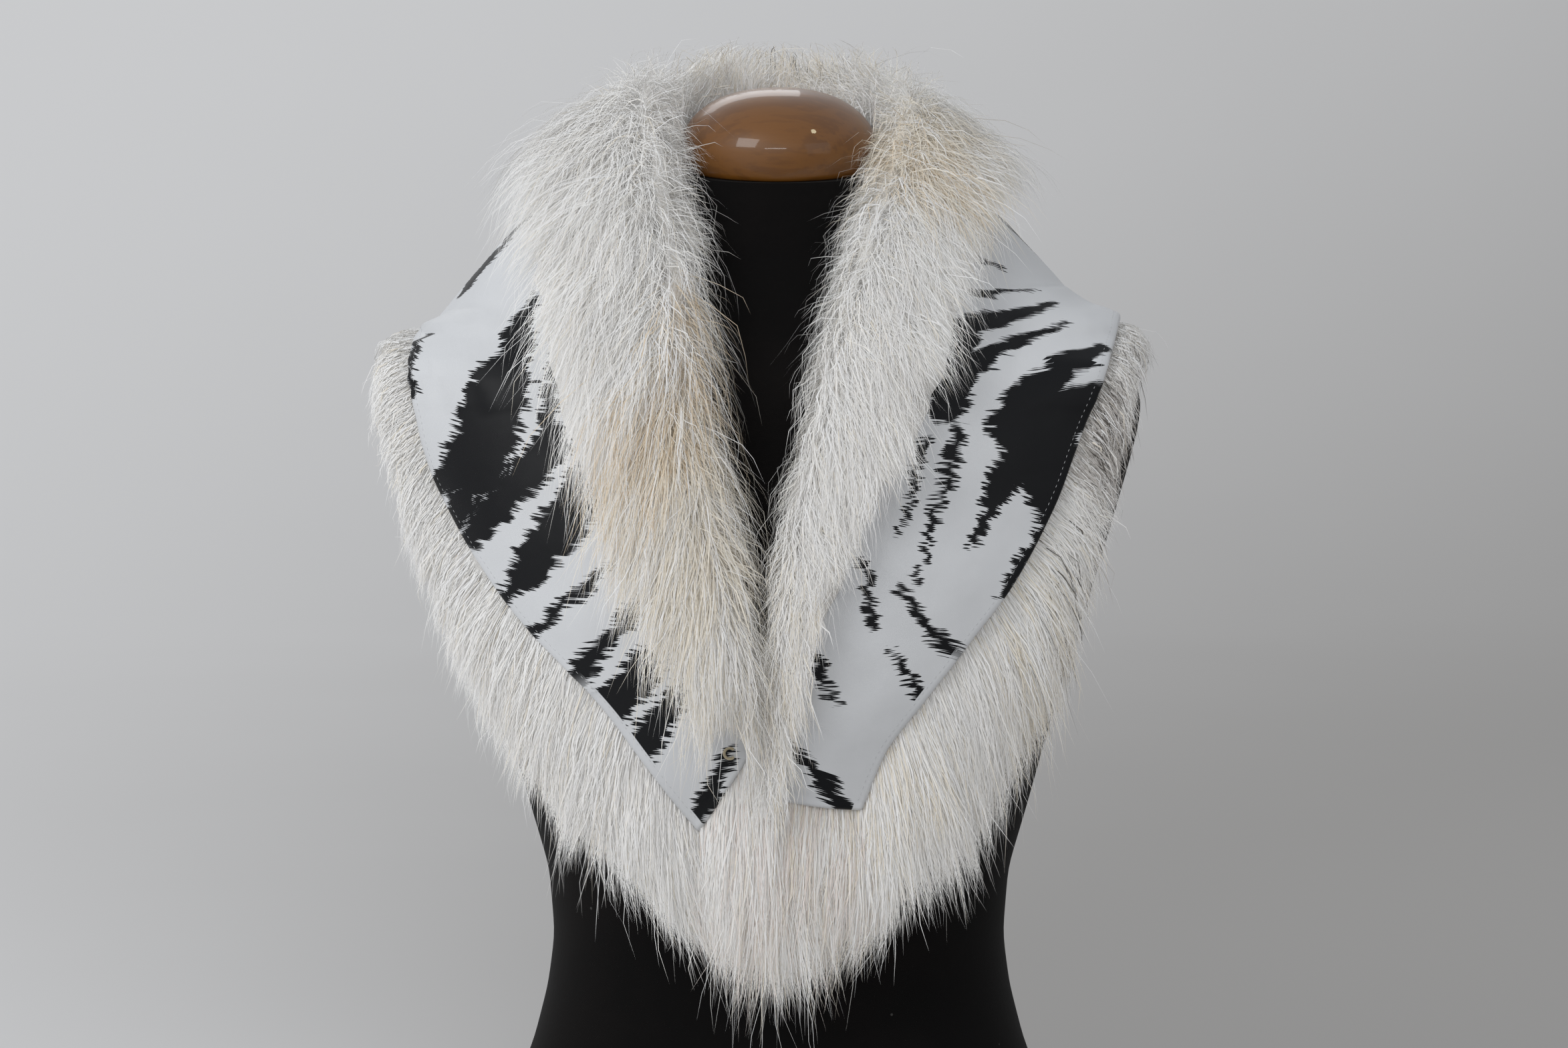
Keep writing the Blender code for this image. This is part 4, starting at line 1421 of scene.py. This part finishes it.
@dataclass
class Half:
    """One half of the wrap: lining, stitches, skin, down and hair."""

    side: Side
    seed: int
    flat_lining: tuple[float, float]
    lining_area: float
    flat_skin: tuple[float, float]
    skin_area: float
    lining_wall: float = 0.0008
    skin_wall: float = 0.0018

    def __post_init__(self) -> None:
        """Samples the strip."""
        self.strip = Strip(self.side)
        self.rng = np.random.default_rng(self.seed)

    def name(self, piece: str) -> str:
        """The name of one of this half's pieces."""
        return f"{piece}_{self.side.value}"

    def lining_grid(self) -> np.ndarray:
        """The lining's under side: creased, and turned over the skin at its free edges."""
        strip = self.strip
        start = strip.reach * strip.flap_share * 0.5
        shares = start[:, None] + (1 - start[:, None]) * strip.shares[None]
        run = strip.surface(shares)
        away = strip.facing(run)
        length = np.concatenate(
            [[0], np.cumsum(np.linalg.norm(np.diff(strip.outer, axis=0), axis=1))]
        )[:, None]
        place = shares * strip.width[:, None]
        edge = (1 - shares) * strip.width[:, None]
        soft = drift(run, 0.055, 7.0)[:, :, 0] * 1.6 + drift(run, 0.022, 9.0)[:, :, 1] * 0.5
        pucker = np.sin(length / 0.019 + np.sin(length / 0.047) * 2) * np.exp(-edge / 0.012) * 0.5
        folds = np.sin(length / 0.016 + place / 0.030) * np.exp(-length / 0.05) * 0.5
        rise = 0.4 + np.clip(soft + pucker + folds + 0.9, 0, None)
        grid = run + away * (rise * MM)[:, :, None]
        turned = []
        for out, down in ((0.9, 0.5), (1.5, 1.5), (1.5, 2.9), (0.7, 3.8)):
            last, way = grid[:, -1], unit(run[:, -1] - run[:, -2])
            turned.append(last + way * out * MM - away[:, -1] * down * MM)
        grid = np.concatenate([grid, np.stack(turned, axis=1)], axis=1)
        away = np.concatenate([away, np.repeat(away[:, -1:], 4, axis=1)], axis=1)
        hem = []
        for out, down in ((0.7, 4.2), (2.2, 3.4), (2.9, 1.6), (2.2, 0.1), (0.9, -0.5)):
            way = unit(grid[0] - grid[2])
            hem.append(grid[0] + way * out * MM - away[0] * down * MM)
        return np.concatenate([np.stack(hem), grid])

    def lining(self, finish: Material) -> Object:
        """Lays the printed lining."""
        grid = self.lining_grid()
        flat = self.strip.unrolled(grid)
        obj = lay_grid(self.name("lining_cloth"), grid, flat, self.strip.turn)
        inward = np.cumsum(np.linalg.norm(np.diff(grid[:, ::-1], axis=1), axis=2), axis=1)
        inward = np.concatenate([0 * inward[:, :1], inward], axis=1)[:, ::-1] - 0.005
        along = np.cumsum(np.linalg.norm(np.diff(grid[:, -1:], axis=0), axis=2), axis=0)
        along = np.concatenate([[[0.0]], along]) + 0 * inward
        add_map(obj, "Hem", np.stack([inward, along], axis=-1))
        apply_modifier(obj, "SOLIDIFY", thickness=self.lining_wall, offset=1.0, use_even_offset=False)
        smooth(obj, 60)
        return dress(obj, finish, "printed_lining", f"lining_{self.side.value}")

    def skin(self, finish: Material) -> Object:
        """Folds the skin over along the neck edge."""
        grid = self.strip.folded[::2]
        columns = [*range(0, 17, 2), *range(17, grid.shape[1], 4)]
        obj = lay_grid(self.name("skin"), grid[:, columns], None, self.strip.turn)
        apply_modifier(obj, "SOLIDIFY", thickness=self.skin_wall, offset=-1.0)
        smooth(obj, 60)
        return dress(obj, finish, "skin_side", f"pelt_{self.side.value}")

    def roll_down(self, finish: Material) -> Object:
        """Lofts the dense down round the folded neck edge."""
        strip = self.strip
        columns = list(range(0, 18, 2)) + [18, 20, 22]
        under = strip.folded[:, columns]
        away = strip.folded_away[:, columns]
        share = np.interp(np.linspace(0, 1, len(columns)), [0, 0.3, 0.8, 1], [0.26, 0.26, 0.24, 0.12])
        top = under - away * (strip.pile[:, None, None] * share[None, :, None] + 0.0022)
        low = under - away * 0.0021
        flap = strip.surface((strip.reach * strip.flap_share)[:, None])[:, 0]
        reach = strip.surface((strip.reach * 0.80)[:, None])[:, 0]
        lying = strip.facing(np.stack([flap, reach], axis=1))[:, 1]
        wedge_top = reach + lying * (0.0035 + strip.pile[:, None] * 0.12)
        wedge_low = reach + lying * 0.0030
        middle_top = (top[:, 0] + wedge_top) / 2 + lying * strip.pile[:, None] * 0.10
        middle_low = (flap + reach) / 2 + lying * 0.0030
        ring = np.concatenate(
            [
                wedge_top[:, None], middle_top[:, None], top, low[:, ::-1],
                middle_low[:, None], wedge_low[:, None],
            ],
            axis=1,
        )
        bumps = drift(ring, 0.018, 11.0) * 0.004 + drift(ring, 0.007, 2.0) * 0.0015
        ring = clear_of_form(ring + bumps * np.minimum(strip.pile / 0.02, 1)[:, None, None], 0.003)
        obj = loft_rings(self.name("roll_down"), ring)
        comb_tint(obj, self.side, ring.shape[:2])
        smooth(obj, 70)
        return dress(obj, finish, "white_fur", f"roll_fur_{self.side.value}")

    def rim(self) -> tuple[np.ndarray, np.ndarray, np.ndarray]:
        """The free edge from the fold's end round the corner to the back.

        Returns:
            The points of the edge, where the hair below each one ends, and the way out of the cloth.
        """
        strip = self.strip
        end_tip = np.array((-3, -113, 206) if self.side is Side.LEFT else (3, -113, 204)) * MM
        across = np.linspace(-0.30, 1, 28, endpoint=False)[:, None]
        end_edge = Barber.sample(strip.run[0], across[:, 0].clip(0) * (strip.columns - 1))
        past = np.minimum(across, 0) * strip.width[0]
        end_edge = end_edge + strip.across[:1] * past * (1, 1, 0.3)
        end_tips = end_tip * (1 - across) + strip.tip[0] * across
        edge = np.concatenate([end_edge, strip.run[:, -1]])
        tips = np.concatenate([end_tips, strip.tip])
        away = np.concatenate([np.repeat(strip.away[:1, 4], len(across), 0), strip.away[:, -1]])
        seam = np.interp(np.arange(len(edge)), [len(edge) - 9, len(edge) - 1], [0, 1])[:, None]
        edge = eased(edge, 1.2) * (1 - seam) + edge * seam
        tips = eased(tips, 4.0) * (1 - seam) + tips * seam
        return edge, tips, unit(eased(away, 2.0))

    def fringe(self, shares: np.ndarray) -> tuple[np.ndarray, np.ndarray]:
        """The surface that the hem's hair follows.

        Args:
            shares: how far from the edge, as shares of the way to the tips.

        Returns:
            Points as (place along the rim, share, 3), and the way out at each.
        """
        edge, tips, away = self.rim()
        s = shares[None, :, None]
        swell = np.sin(np.pi * np.clip(s, 0, 1)) * 0.010
        grid = edge[:, None] * (1 - s) + tips[:, None] * s + away[:, None] * swell
        lift = np.interp(shares, [-0.1, 0, 0.5, 1], [0.013, 0.0135, 0.0135, 0.007])
        grid = clear_of_form(grid, np.broadcast_to(lift, grid.shape[:2]))
        along, down = np.gradient(grid, axis=0), np.gradient(grid, axis=1)
        out = np.cross(along, down)
        out = unit(out) * np.sign(dot(out, away[:, None]))
        return grid, unit(eased(out, 2.0) + away[:, None] * 0.4)

    def hem_down(self, finish: Material) -> Object:
        """Lofts the dense down that pads the hem and hangs below its edge."""
        shares = np.array([-0.16, -0.05, 0.03, 0.12, 0.24, 0.36, 0.47])
        grid, out = self.fringe(shares)
        sink = np.array([4.6, 4.6, 4.4, 4.4, 5.0, 5.0, 4.6])[None, :, None] * MM
        deep = np.array([9.0, 11.0, 11.5, 11.0, 9.5, 7.5, 5.0])[None, :, None] * MM
        ring = np.concatenate([grid - out * sink, (grid - out * deep)[:, ::-1]], axis=1)
        bumps = drift(ring, 0.016, 5.0) * 0.004
        bumps[:, :2] = 0
        ring = clear_of_form(ring + bumps, 0.002)
        obj = loft_rings(self.name("hem_down"), ring)
        comb_tint(obj, self.side, ring.shape[:2])
        smooth(obj, 70)
        return dress(obj, finish, "white_fur", f"hem_fur_{self.side.value}")

    def roll_hair(self, barber: Barber, finish: Material, coat: Coat, name: str) -> Object:
        """Grows the hair of the folded neck edge.

        Args:
            barber: what grows the hair.
            finish: its material.
            coat: the kind of hair.
            name: the piece's name.

        Returns:
            The piece.
        """
        strip, rng = self.strip, barber.rng
        grid, away = strip.folded[:, :26], strip.folded_away[:, :26]
        thick = np.interp(np.arange(25), [0, 3, 8, 12, 17, 24], [1.3, 1.3, 1.6, 1.4, 0.8, 0.3])
        weight = np.repeat(thick[None], strip.rows - 1, 0)
        row, column = barber.scatter(grid, weight, coat.count)
        out = -unit(Barber.sample(away, row, column))
        pile = Barber.sample(strip.pile, row)
        roots = Barber.sample(grid, row, column) + out * (0.0022 + 0.42 * pile * rng.random(len(pile)))[:, None]
        lean = np.interp(column, [0, 8, 12, 17, 25], [1.0, 0.25, -0.45, -0.9, -1.0])
        ridge = np.exp(-(((column - 9) / 5) ** 2))
        lean = lean + rng.normal(0, 1, len(lean)) * (0.22 + 0.75 * ridge)
        across = Barber.sample(strip.across, row)
        falling = DOWN - out * dot(out, DOWN[None])
        place = row / strip.rows
        fall = np.interp(place, [0, 0.12, 0.45, 0.62, 1.0], [1.5, 1.4, 1.3, 1.0, 0.5])
        outward = np.interp(place, [0, 0.25, 0.45, 0.6, 0.75], [0.05, 0.12, 0.30, 0.50, 0.80])
        spare = [-0.18, -0.25, -0.08, 0.45] if self.side is Side.RIGHT else [0.3, 0.4, 0.4, 0.45]
        outward = outward + np.where(lean > 0, 0, np.interp(place, [0.1, 0.35, 0.52, 0.62], spare))
        ahead = -unit(Barber.sample(np.gradient(strip.fold, axis=0), row))
        along = np.interp(place, [0, 0.4, 0.7, 0.9], [0.25, 0.35, 0.45, 0.0]) * (1.1 - np.abs(lean).clip(0, 1))
        wander = drift(roots, 0.040, 1.0 + self.seed) * 0.55 + drift(roots, 0.012, 3.0) * 0.40
        flow = unit(
            falling * fall[:, None] + across * (lean * outward)[:, None] + ahead * along[:, None] + wander
        )
        lengths = np.where(
            lean > 0,
            0.55 * Barber.sample(strip.reach * strip.width, row) + pile * 0.9 + 0.018,
            pile * 1.25 + 0.014,
        )
        if self.side is Side.RIGHT:
            lengths = lengths * np.interp(place, [0.2, 0.3, 0.5, 0.6], [1.0, 0.7, 0.72, 1.0])
        low_end = np.interp(place, [0, 0.1, 0.3], [2.2, 1.5, 1.0])
        top = np.interp(place, [0.5, 0.62, 0.8, 1.0], [1.0, 0.72, 0.72, 0.85])
        lengths = np.clip(lengths * low_end * top, 0.026, 0.080) * coat.draw(rng, len(row))
        stand = np.interp(pile, [0.003, 0.02], [0.25, 0.70])[:, None]
        first = unit(out * stand + flow * 0.55 + rng.normal(0, 0.14, out.shape))
        second = unit(out * stand * 0.25 + flow + rng.normal(0, 0.08, out.shape))
        third = unit(flow + DOWN * 0.35 - out * 0.30 + rng.normal(0, 0.10, out.shape))
        loose = (rng.random(len(row)) < coat.stray)[:, None]
        second = unit(second + loose * rng.normal(0, 0.30, out.shape))
        third = unit(third + loose * rng.normal(0, 0.38, out.shape))
        curves = barber.grow(roots, (first, second, third), lengths, coat)
        curves = barber.hold(barber.crimp(barber.gather(curves, coat), coat))
        low, high = (np.array(corner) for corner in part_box("hook_eye"))
        share = np.linspace(0, 1, 6, endpoint=False)[None, None, :, None]
        steps = curves[:, :-1, None] * (1 - share) + curves[:, 1:, None] * share
        near = np.abs(steps - (low + high) / 2)[..., (0, 2)].max(axis=-1).min(axis=(1, 2))
        kept = (near > 0.0085) | (rng.random(len(near)) < 0.01)
        curves, out, roots = curves[kept], out[kept], roots[kept]
        curves = barber.clear(curves, 0.002, 0.0022)
        obj = barber.mesh(self.name(name), curves, out, barber.shades(roots, self.side), coat)
        return dress(obj, finish, "white_fur", f"roll_fur_{self.side.value}")

    def hem_hair(self, barber: Barber, finish: Material, coat: Coat, name: str) -> Object:
        """Grows the fringe of hair round the free edges.

        Args:
            barber: what grows the hair.
            finish: its material.
            coat: the kind of hair.
            name: the piece's name.

        Returns:
            The piece.
        """
        rng = barber.rng
        shares = np.linspace(-0.05, 1, 22)
        grid, out_grid = self.fringe(shares)
        down_grid = unit(np.gradient(grid, axis=1))
        last = 11
        thick = np.interp(np.arange(last), [0, 1, 3, 8, 10], [2.4, 2.4, 1.4, 0.9, 0.4])
        weight = np.repeat(thick[None], len(grid) - 1, 0)
        row, column = barber.scatter(grid[:, : last + 1], weight, coat.count)
        out = unit(Barber.sample(out_grid, row, column))
        share = np.interp(column, np.arange(len(shares)), shares)
        deep = rng.random(len(row)) ** 1.3 * 0.0075 + np.interp(share, [-0.05, 0.05, 0.2], [0.0035, 0.0026, 0.0])
        roots = Barber.sample(grid, row, column) - out * deep[:, None]
        whole = np.linalg.norm(grid[:, -1] - grid[:, 1], axis=1)
        guide = Barber.sample(whole, row)
        lengths = guide * coat.draw(rng, len(row)) * (0.75 if coat.segments < 4 else 1.0)
        lock = 0.86 + 0.30 * drift(roots * (1, 1, 0.3), 0.011, 9.0)[:, 0]
        reach = guide * (1.32 - np.clip(share, 0, 1)) * (1 - 0.64 * rng.random(len(row)) ** 0.6)
        if self.side is Side.RIGHT:
            reach = reach * np.interp(roots[:, 2], [0.44, 0.47, 0.555, 0.58], [1, 0.72, 0.72, 1])
        lengths = np.maximum(np.minimum(lengths * 0.85, reach * lock), 0.012)
        ahead = np.minimum(column + 5, len(shares) - 1)
        later = np.minimum(column + 11, len(shares) - 1)
        wander = drift(roots, 0.045, 6.0 + self.seed) * 0.40 + drift(roots, 0.012, 8.0) * 0.30
        near = Barber.sample(down_grid, row, column)
        rise = rng.uniform(0.05, 0.45, len(row))[:, None]
        first = unit(near + out * rise + wander * 0.5 + rng.normal(0, 0.09, out.shape))
        second = unit(
            Barber.sample(down_grid, row, ahead) + DOWN * 0.75 + wander
            + rng.normal(0, 0.07, out.shape)
        )
        third = unit(
            Barber.sample(down_grid, row, later) * 0.6 + DOWN * 1.1 + wander * 1.1
            + rng.normal(0, 0.11, out.shape)
        )
        loose = (rng.random(len(row)) < coat.stray)[:, None]
        second = unit(second + loose * rng.normal(0, 0.16, out.shape))
        third = unit(third + loose * rng.normal(0, 0.30, out.shape))
        curves = barber.grow(roots, (first, second, third), lengths, coat)
        curves = barber.hold(barber.crimp(barber.gather(curves, coat), coat))
        curves = barber.clear(curves, 0.0015, 0)
        obj = barber.mesh(self.name(name), curves, out, barber.shades(curves[:, -2], self.side), coat)
        return dress(obj, finish, "white_fur", f"hem_fur_{self.side.value}")

    def stitches(self, finish: Material) -> Object:
        """Copies one stitch along the outer edge."""
        deselect()
        bpy.ops.mesh.primitive_uv_sphere_add(segments=6, ring_count=5, radius=1)
        one = bpy.context.object
        bpy.ops.object.mode_set(mode="EDIT")
        bpy.ops.mesh.select_all(action="SELECT")
        bpy.ops.transform.resize(value=(0.95 * MM, 0.13 * MM, 0.14 * MM))
        bpy.ops.object.mode_set(mode="OBJECT")
        model = points_of(one)
        faces = [tuple(p.vertices) for p in one.data.polygons]
        strip = self.strip
        line = strip.run[:, -1] - unit(strip.run[:, -1] - strip.run[:, -2]) * 3.4 * MM
        length = np.concatenate([[0], np.cumsum(np.linalg.norm(np.diff(line, axis=0), axis=1))])
        places = np.interp(np.arange(0.004, length[-1] - 0.004, 0.0036), length, np.arange(len(line)))
        spots = Barber.sample(line, places)
        way = unit(Barber.sample(np.gradient(line, axis=0), places))
        up = unit(Barber.sample(strip.away[:, -1], places))
        tree = BVHTree.FromObject(self.cloth, bpy.context.evaluated_depsgraph_get())
        side = np.cross(up, way)
        points, all_faces = [], []
        for k, spot in enumerate(spots):
            hit = tree.ray_cast(Vector(spot + up[k] * 0.012), Vector(-up[k]), 0.03)[0]
            at = np.array(hit) if hit else spot
            turned = model[:, :1] * way[k] + model[:, 1:2] * side[k] + model[:, 2:3] * up[k]
            points.append(at + up[k] * 0.05 * MM + turned)
            all_faces += [tuple(v + k * len(model) for v in face) for face in faces]
        mesh = bpy.data.meshes.new(self.name("edge_stitches"))
        mesh.from_pydata(np.concatenate(points).tolist(), [], all_faces)
        bpy.data.objects.remove(one)
        obj = bpy.data.objects.new(mesh.name, mesh)
        bpy.context.scene.collection.objects.link(obj)
        smooth(obj, 80)
        return dress(obj, finish, "printed_lining")

    def build(self, finishes: dict[str, Material]) -> None:
        """Builds every piece of this half."""
        lining = self.lining(finishes[f"print_{self.side.value}"])
        self.cloth = lining
        stitches = self.stitches(finishes["thread"])
        skin = self.skin(finishes["suede"])
        tree = BVHTree.FromObject(lining, bpy.context.evaluated_depsgraph_get())
        barber = Barber(self.seed, tree)
        hair = [
            self.roll_down(finishes["down"]),
            self.hem_down(finishes["down"]),
            self.roll_hair(barber, finishes["hair"], DOWN_COAT, "roll_wool"),
            self.roll_hair(barber, finishes["hair"], GUARD_COAT, "roll_guard"),
            self.hem_hair(barber, finishes["hair"], DOWN_COAT, "hem_wool"),
            self.hem_hair(barber, finishes["hair"], FRINGE_COAT, "hem_guard"),
        ]


# ---------------------------------------------------------------- the eye


@dataclass
class HookEye:
    """The thread-wound wire eye sewn near the left end."""

    turns: int = 46
    open_angle: float = 75.0
    radius: float = 0.0029
    wire: float = 0.00078
    thread: float = 0.00020
    lift: float = 0.0019

    def build(self, finish: Material) -> Object:
        """Bends the wire and winds the thread round it."""
        low, high = (np.array(corner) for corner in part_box("hook_eye"))
        centre = (low + high) / 2 + np.array((0, -self.lift, 0))
        sweep = math.radians(360 - self.open_angle)
        start = math.radians(self.open_angle / 2)
        steps = self.turns * 8
        k = np.arange(steps + 1) / steps
        angle = start + sweep * k
        spin = k * self.turns * 2 * math.pi
        ripple = self.wire + self.thread * (0.5 + 0.5 * np.cos(spin))
        ripple = ripple * np.clip(np.minimum(k, 1 - k) * 30, 0.25, 1) ** 0.5
        around = np.arange(10) / 10 * 2 * math.pi
        spoke = np.stack([np.cos(angle), 0 * angle, np.sin(angle)], axis=-1)
        away = np.array([0.0, -1.0, 0.0])
        ring = (
            centre
            + spoke[:, None] * self.radius
            + ripple[:, None, None]
            * (spoke[:, None] * np.cos(around)[None, :, None] + away * np.sin(around)[None, :, None])
        )
        obj = loft_rings("hook_eye_wound", ring)
        smooth(obj, 70)
        return dress(obj, finish, "covered_wire", "hook_eye")


# ---------------------------------------------------------------- the studio


@dataclass
class Studio:
    """The camera, the pale sweep and the soft lamps."""

    target: tuple[float, float, float] = (0.003, 0.0, 0.467)
    distance: float = 1.9
    look_down: float = 5.0
    lens: float = 75.8
    sweep_radius: float = 5.0
    lamps: tuple[tuple[str, tuple[float, float, float], tuple[float, float], float], ...] = (
        ("key", (-1.8, -2.2, 2.2), (1.3, 1.3), 30),
        ("fill", (2.4, -2.2, 1.4), (1.8, 1.8), 5),
        ("front", (-0.2, -3.2, 1.5), (1.4, 0.16), 8),
        ("back", (-0.6, 2.6, 2.2), (1.6, 1.0), 8),
    )

    def camera(self) -> None:
        """Sets the camera at the viewing angle."""
        tilt = math.radians(self.look_down)
        target = Vector(self.target)
        place = target + Vector((0, -math.cos(tilt), math.sin(tilt))) * self.distance
        data = bpy.data.cameras.new("view")
        data.lens, data.sensor_width, data.clip_end = self.lens, 36, 60
        view = bpy.data.objects.new("view", data)
        bpy.context.scene.collection.objects.link(view)
        view.location = place
        view.rotation_euler = (target - place).to_track_quat("-Z", "Y").to_euler()
        bpy.context.scene.camera = view

    def sweep(self, finish: Material) -> None:
        """Raises a round floor into walls on every side, with a wide soft curve."""
        reach = self.sweep_radius
        bend = 1.6
        profile = [(r, 0.0) for r in (0.02, 0.4, 1.0, 1.8, 2.6, reach - bend)]
        for k in range(1, 13):
            turn = math.radians(90 * k / 12)
            profile.append((reach - bend + bend * math.sin(turn), bend - bend * math.cos(turn)))
        profile += [(reach, 2.5), (reach, 3.6)]
        turn = np.arange(96) / 96 * 2 * math.pi
        rings = np.array([[(r * math.cos(a), r * math.sin(a), z) for a in turn] for r, z in profile])
        obj = loft_rings("studio_sweep", rings)
        deselect()
        bpy.context.view_layer.objects.active = obj
        bpy.ops.object.mode_set(mode="EDIT")
        bpy.ops.mesh.select_all(action="DESELECT")
        bpy.ops.object.mode_set(mode="OBJECT")
        for face in obj.data.polygons:
            face.select = len(face.vertices) > 4 and face.center.z > 1
        bpy.ops.object.mode_set(mode="EDIT")
        bpy.ops.mesh.delete(type="FACE")
        bpy.ops.mesh.select_all(action="SELECT")
        bpy.ops.mesh.flip_normals()
        bpy.ops.object.mode_set(mode="OBJECT")
        smooth(obj, 60)
        obj.data.materials.append(finish)

    def light(self) -> None:
        """Hangs the lamps and sets the even light of the room."""
        bpy.context.scene.view_settings.view_transform = "Standard"
        for name, place, size, power in self.lamps:
            data = bpy.data.lights.new(name, "AREA")
            data.shape, data.size, data.size_y, data.energy = "RECTANGLE", *size, power
            lamp = bpy.data.objects.new(name, data)
            bpy.context.scene.collection.objects.link(lamp)
            lamp.location = place
            lamp.rotation_euler = (Vector((0, 0, 0.5)) - Vector(place)).to_track_quat("-Z", "Y").to_euler()
        world = bpy.data.worlds.new("room")
        world.use_nodes = True
        world.node_tree.nodes["Background"].inputs[0].default_value = (0.93, 0.96, 1.0, 1)
        world.node_tree.nodes["Background"].inputs[1].default_value = 0.52
        bpy.context.scene.world = world

    def build(self, finish: Material) -> None:
        """Sets up the whole studio."""
        self.camera()
        self.sweep(finish)
        self.light()


def main() -> None:
    """Builds the classes in order."""
    logging.basicConfig(level=logging.INFO, format="%(message)s")
    effects = Effects()
    fur = FurFinish()
    finishes = {
        "print_left": PrintedSatin(LEFT_PRINT).material("printed_satin_left", effects),
        "print_right": PrintedSatin(RIGHT_PRINT).material("printed_satin_right", effects),
        "thread": PlainCloth("white_thread", (0.66, 0.67, 0.68), pitch=0.0003).material(effects),
        "suede": PlainCloth("pale_suede", (0.70, 0.62, 0.52), 0.2, (0.8, 0.95)).material(effects),
        "wound": PlainCloth("cream_winding", (0.66, 0.58, 0.42), rough=(0.3, 0.45), pitch=0.0005).material(effects),
        "hair": fur.hair(effects),
        "down": fur.down(),
    }
    Studio().build(StudioPaper().material())
    DressForm().build(Jersey().material(effects), Varnish().material())
    Half(Side.LEFT, 11, (0.171, 0.630), 0.076, (0.215, 0.640), 0.1025).build(finishes)
    Half(Side.RIGHT, 23, (0.167, 0.618), 0.072, (0.205, 0.630), 0.0945).build(finishes)
    HookEye().build(finishes["wound"])


if __name__ == "__main__":
    main()
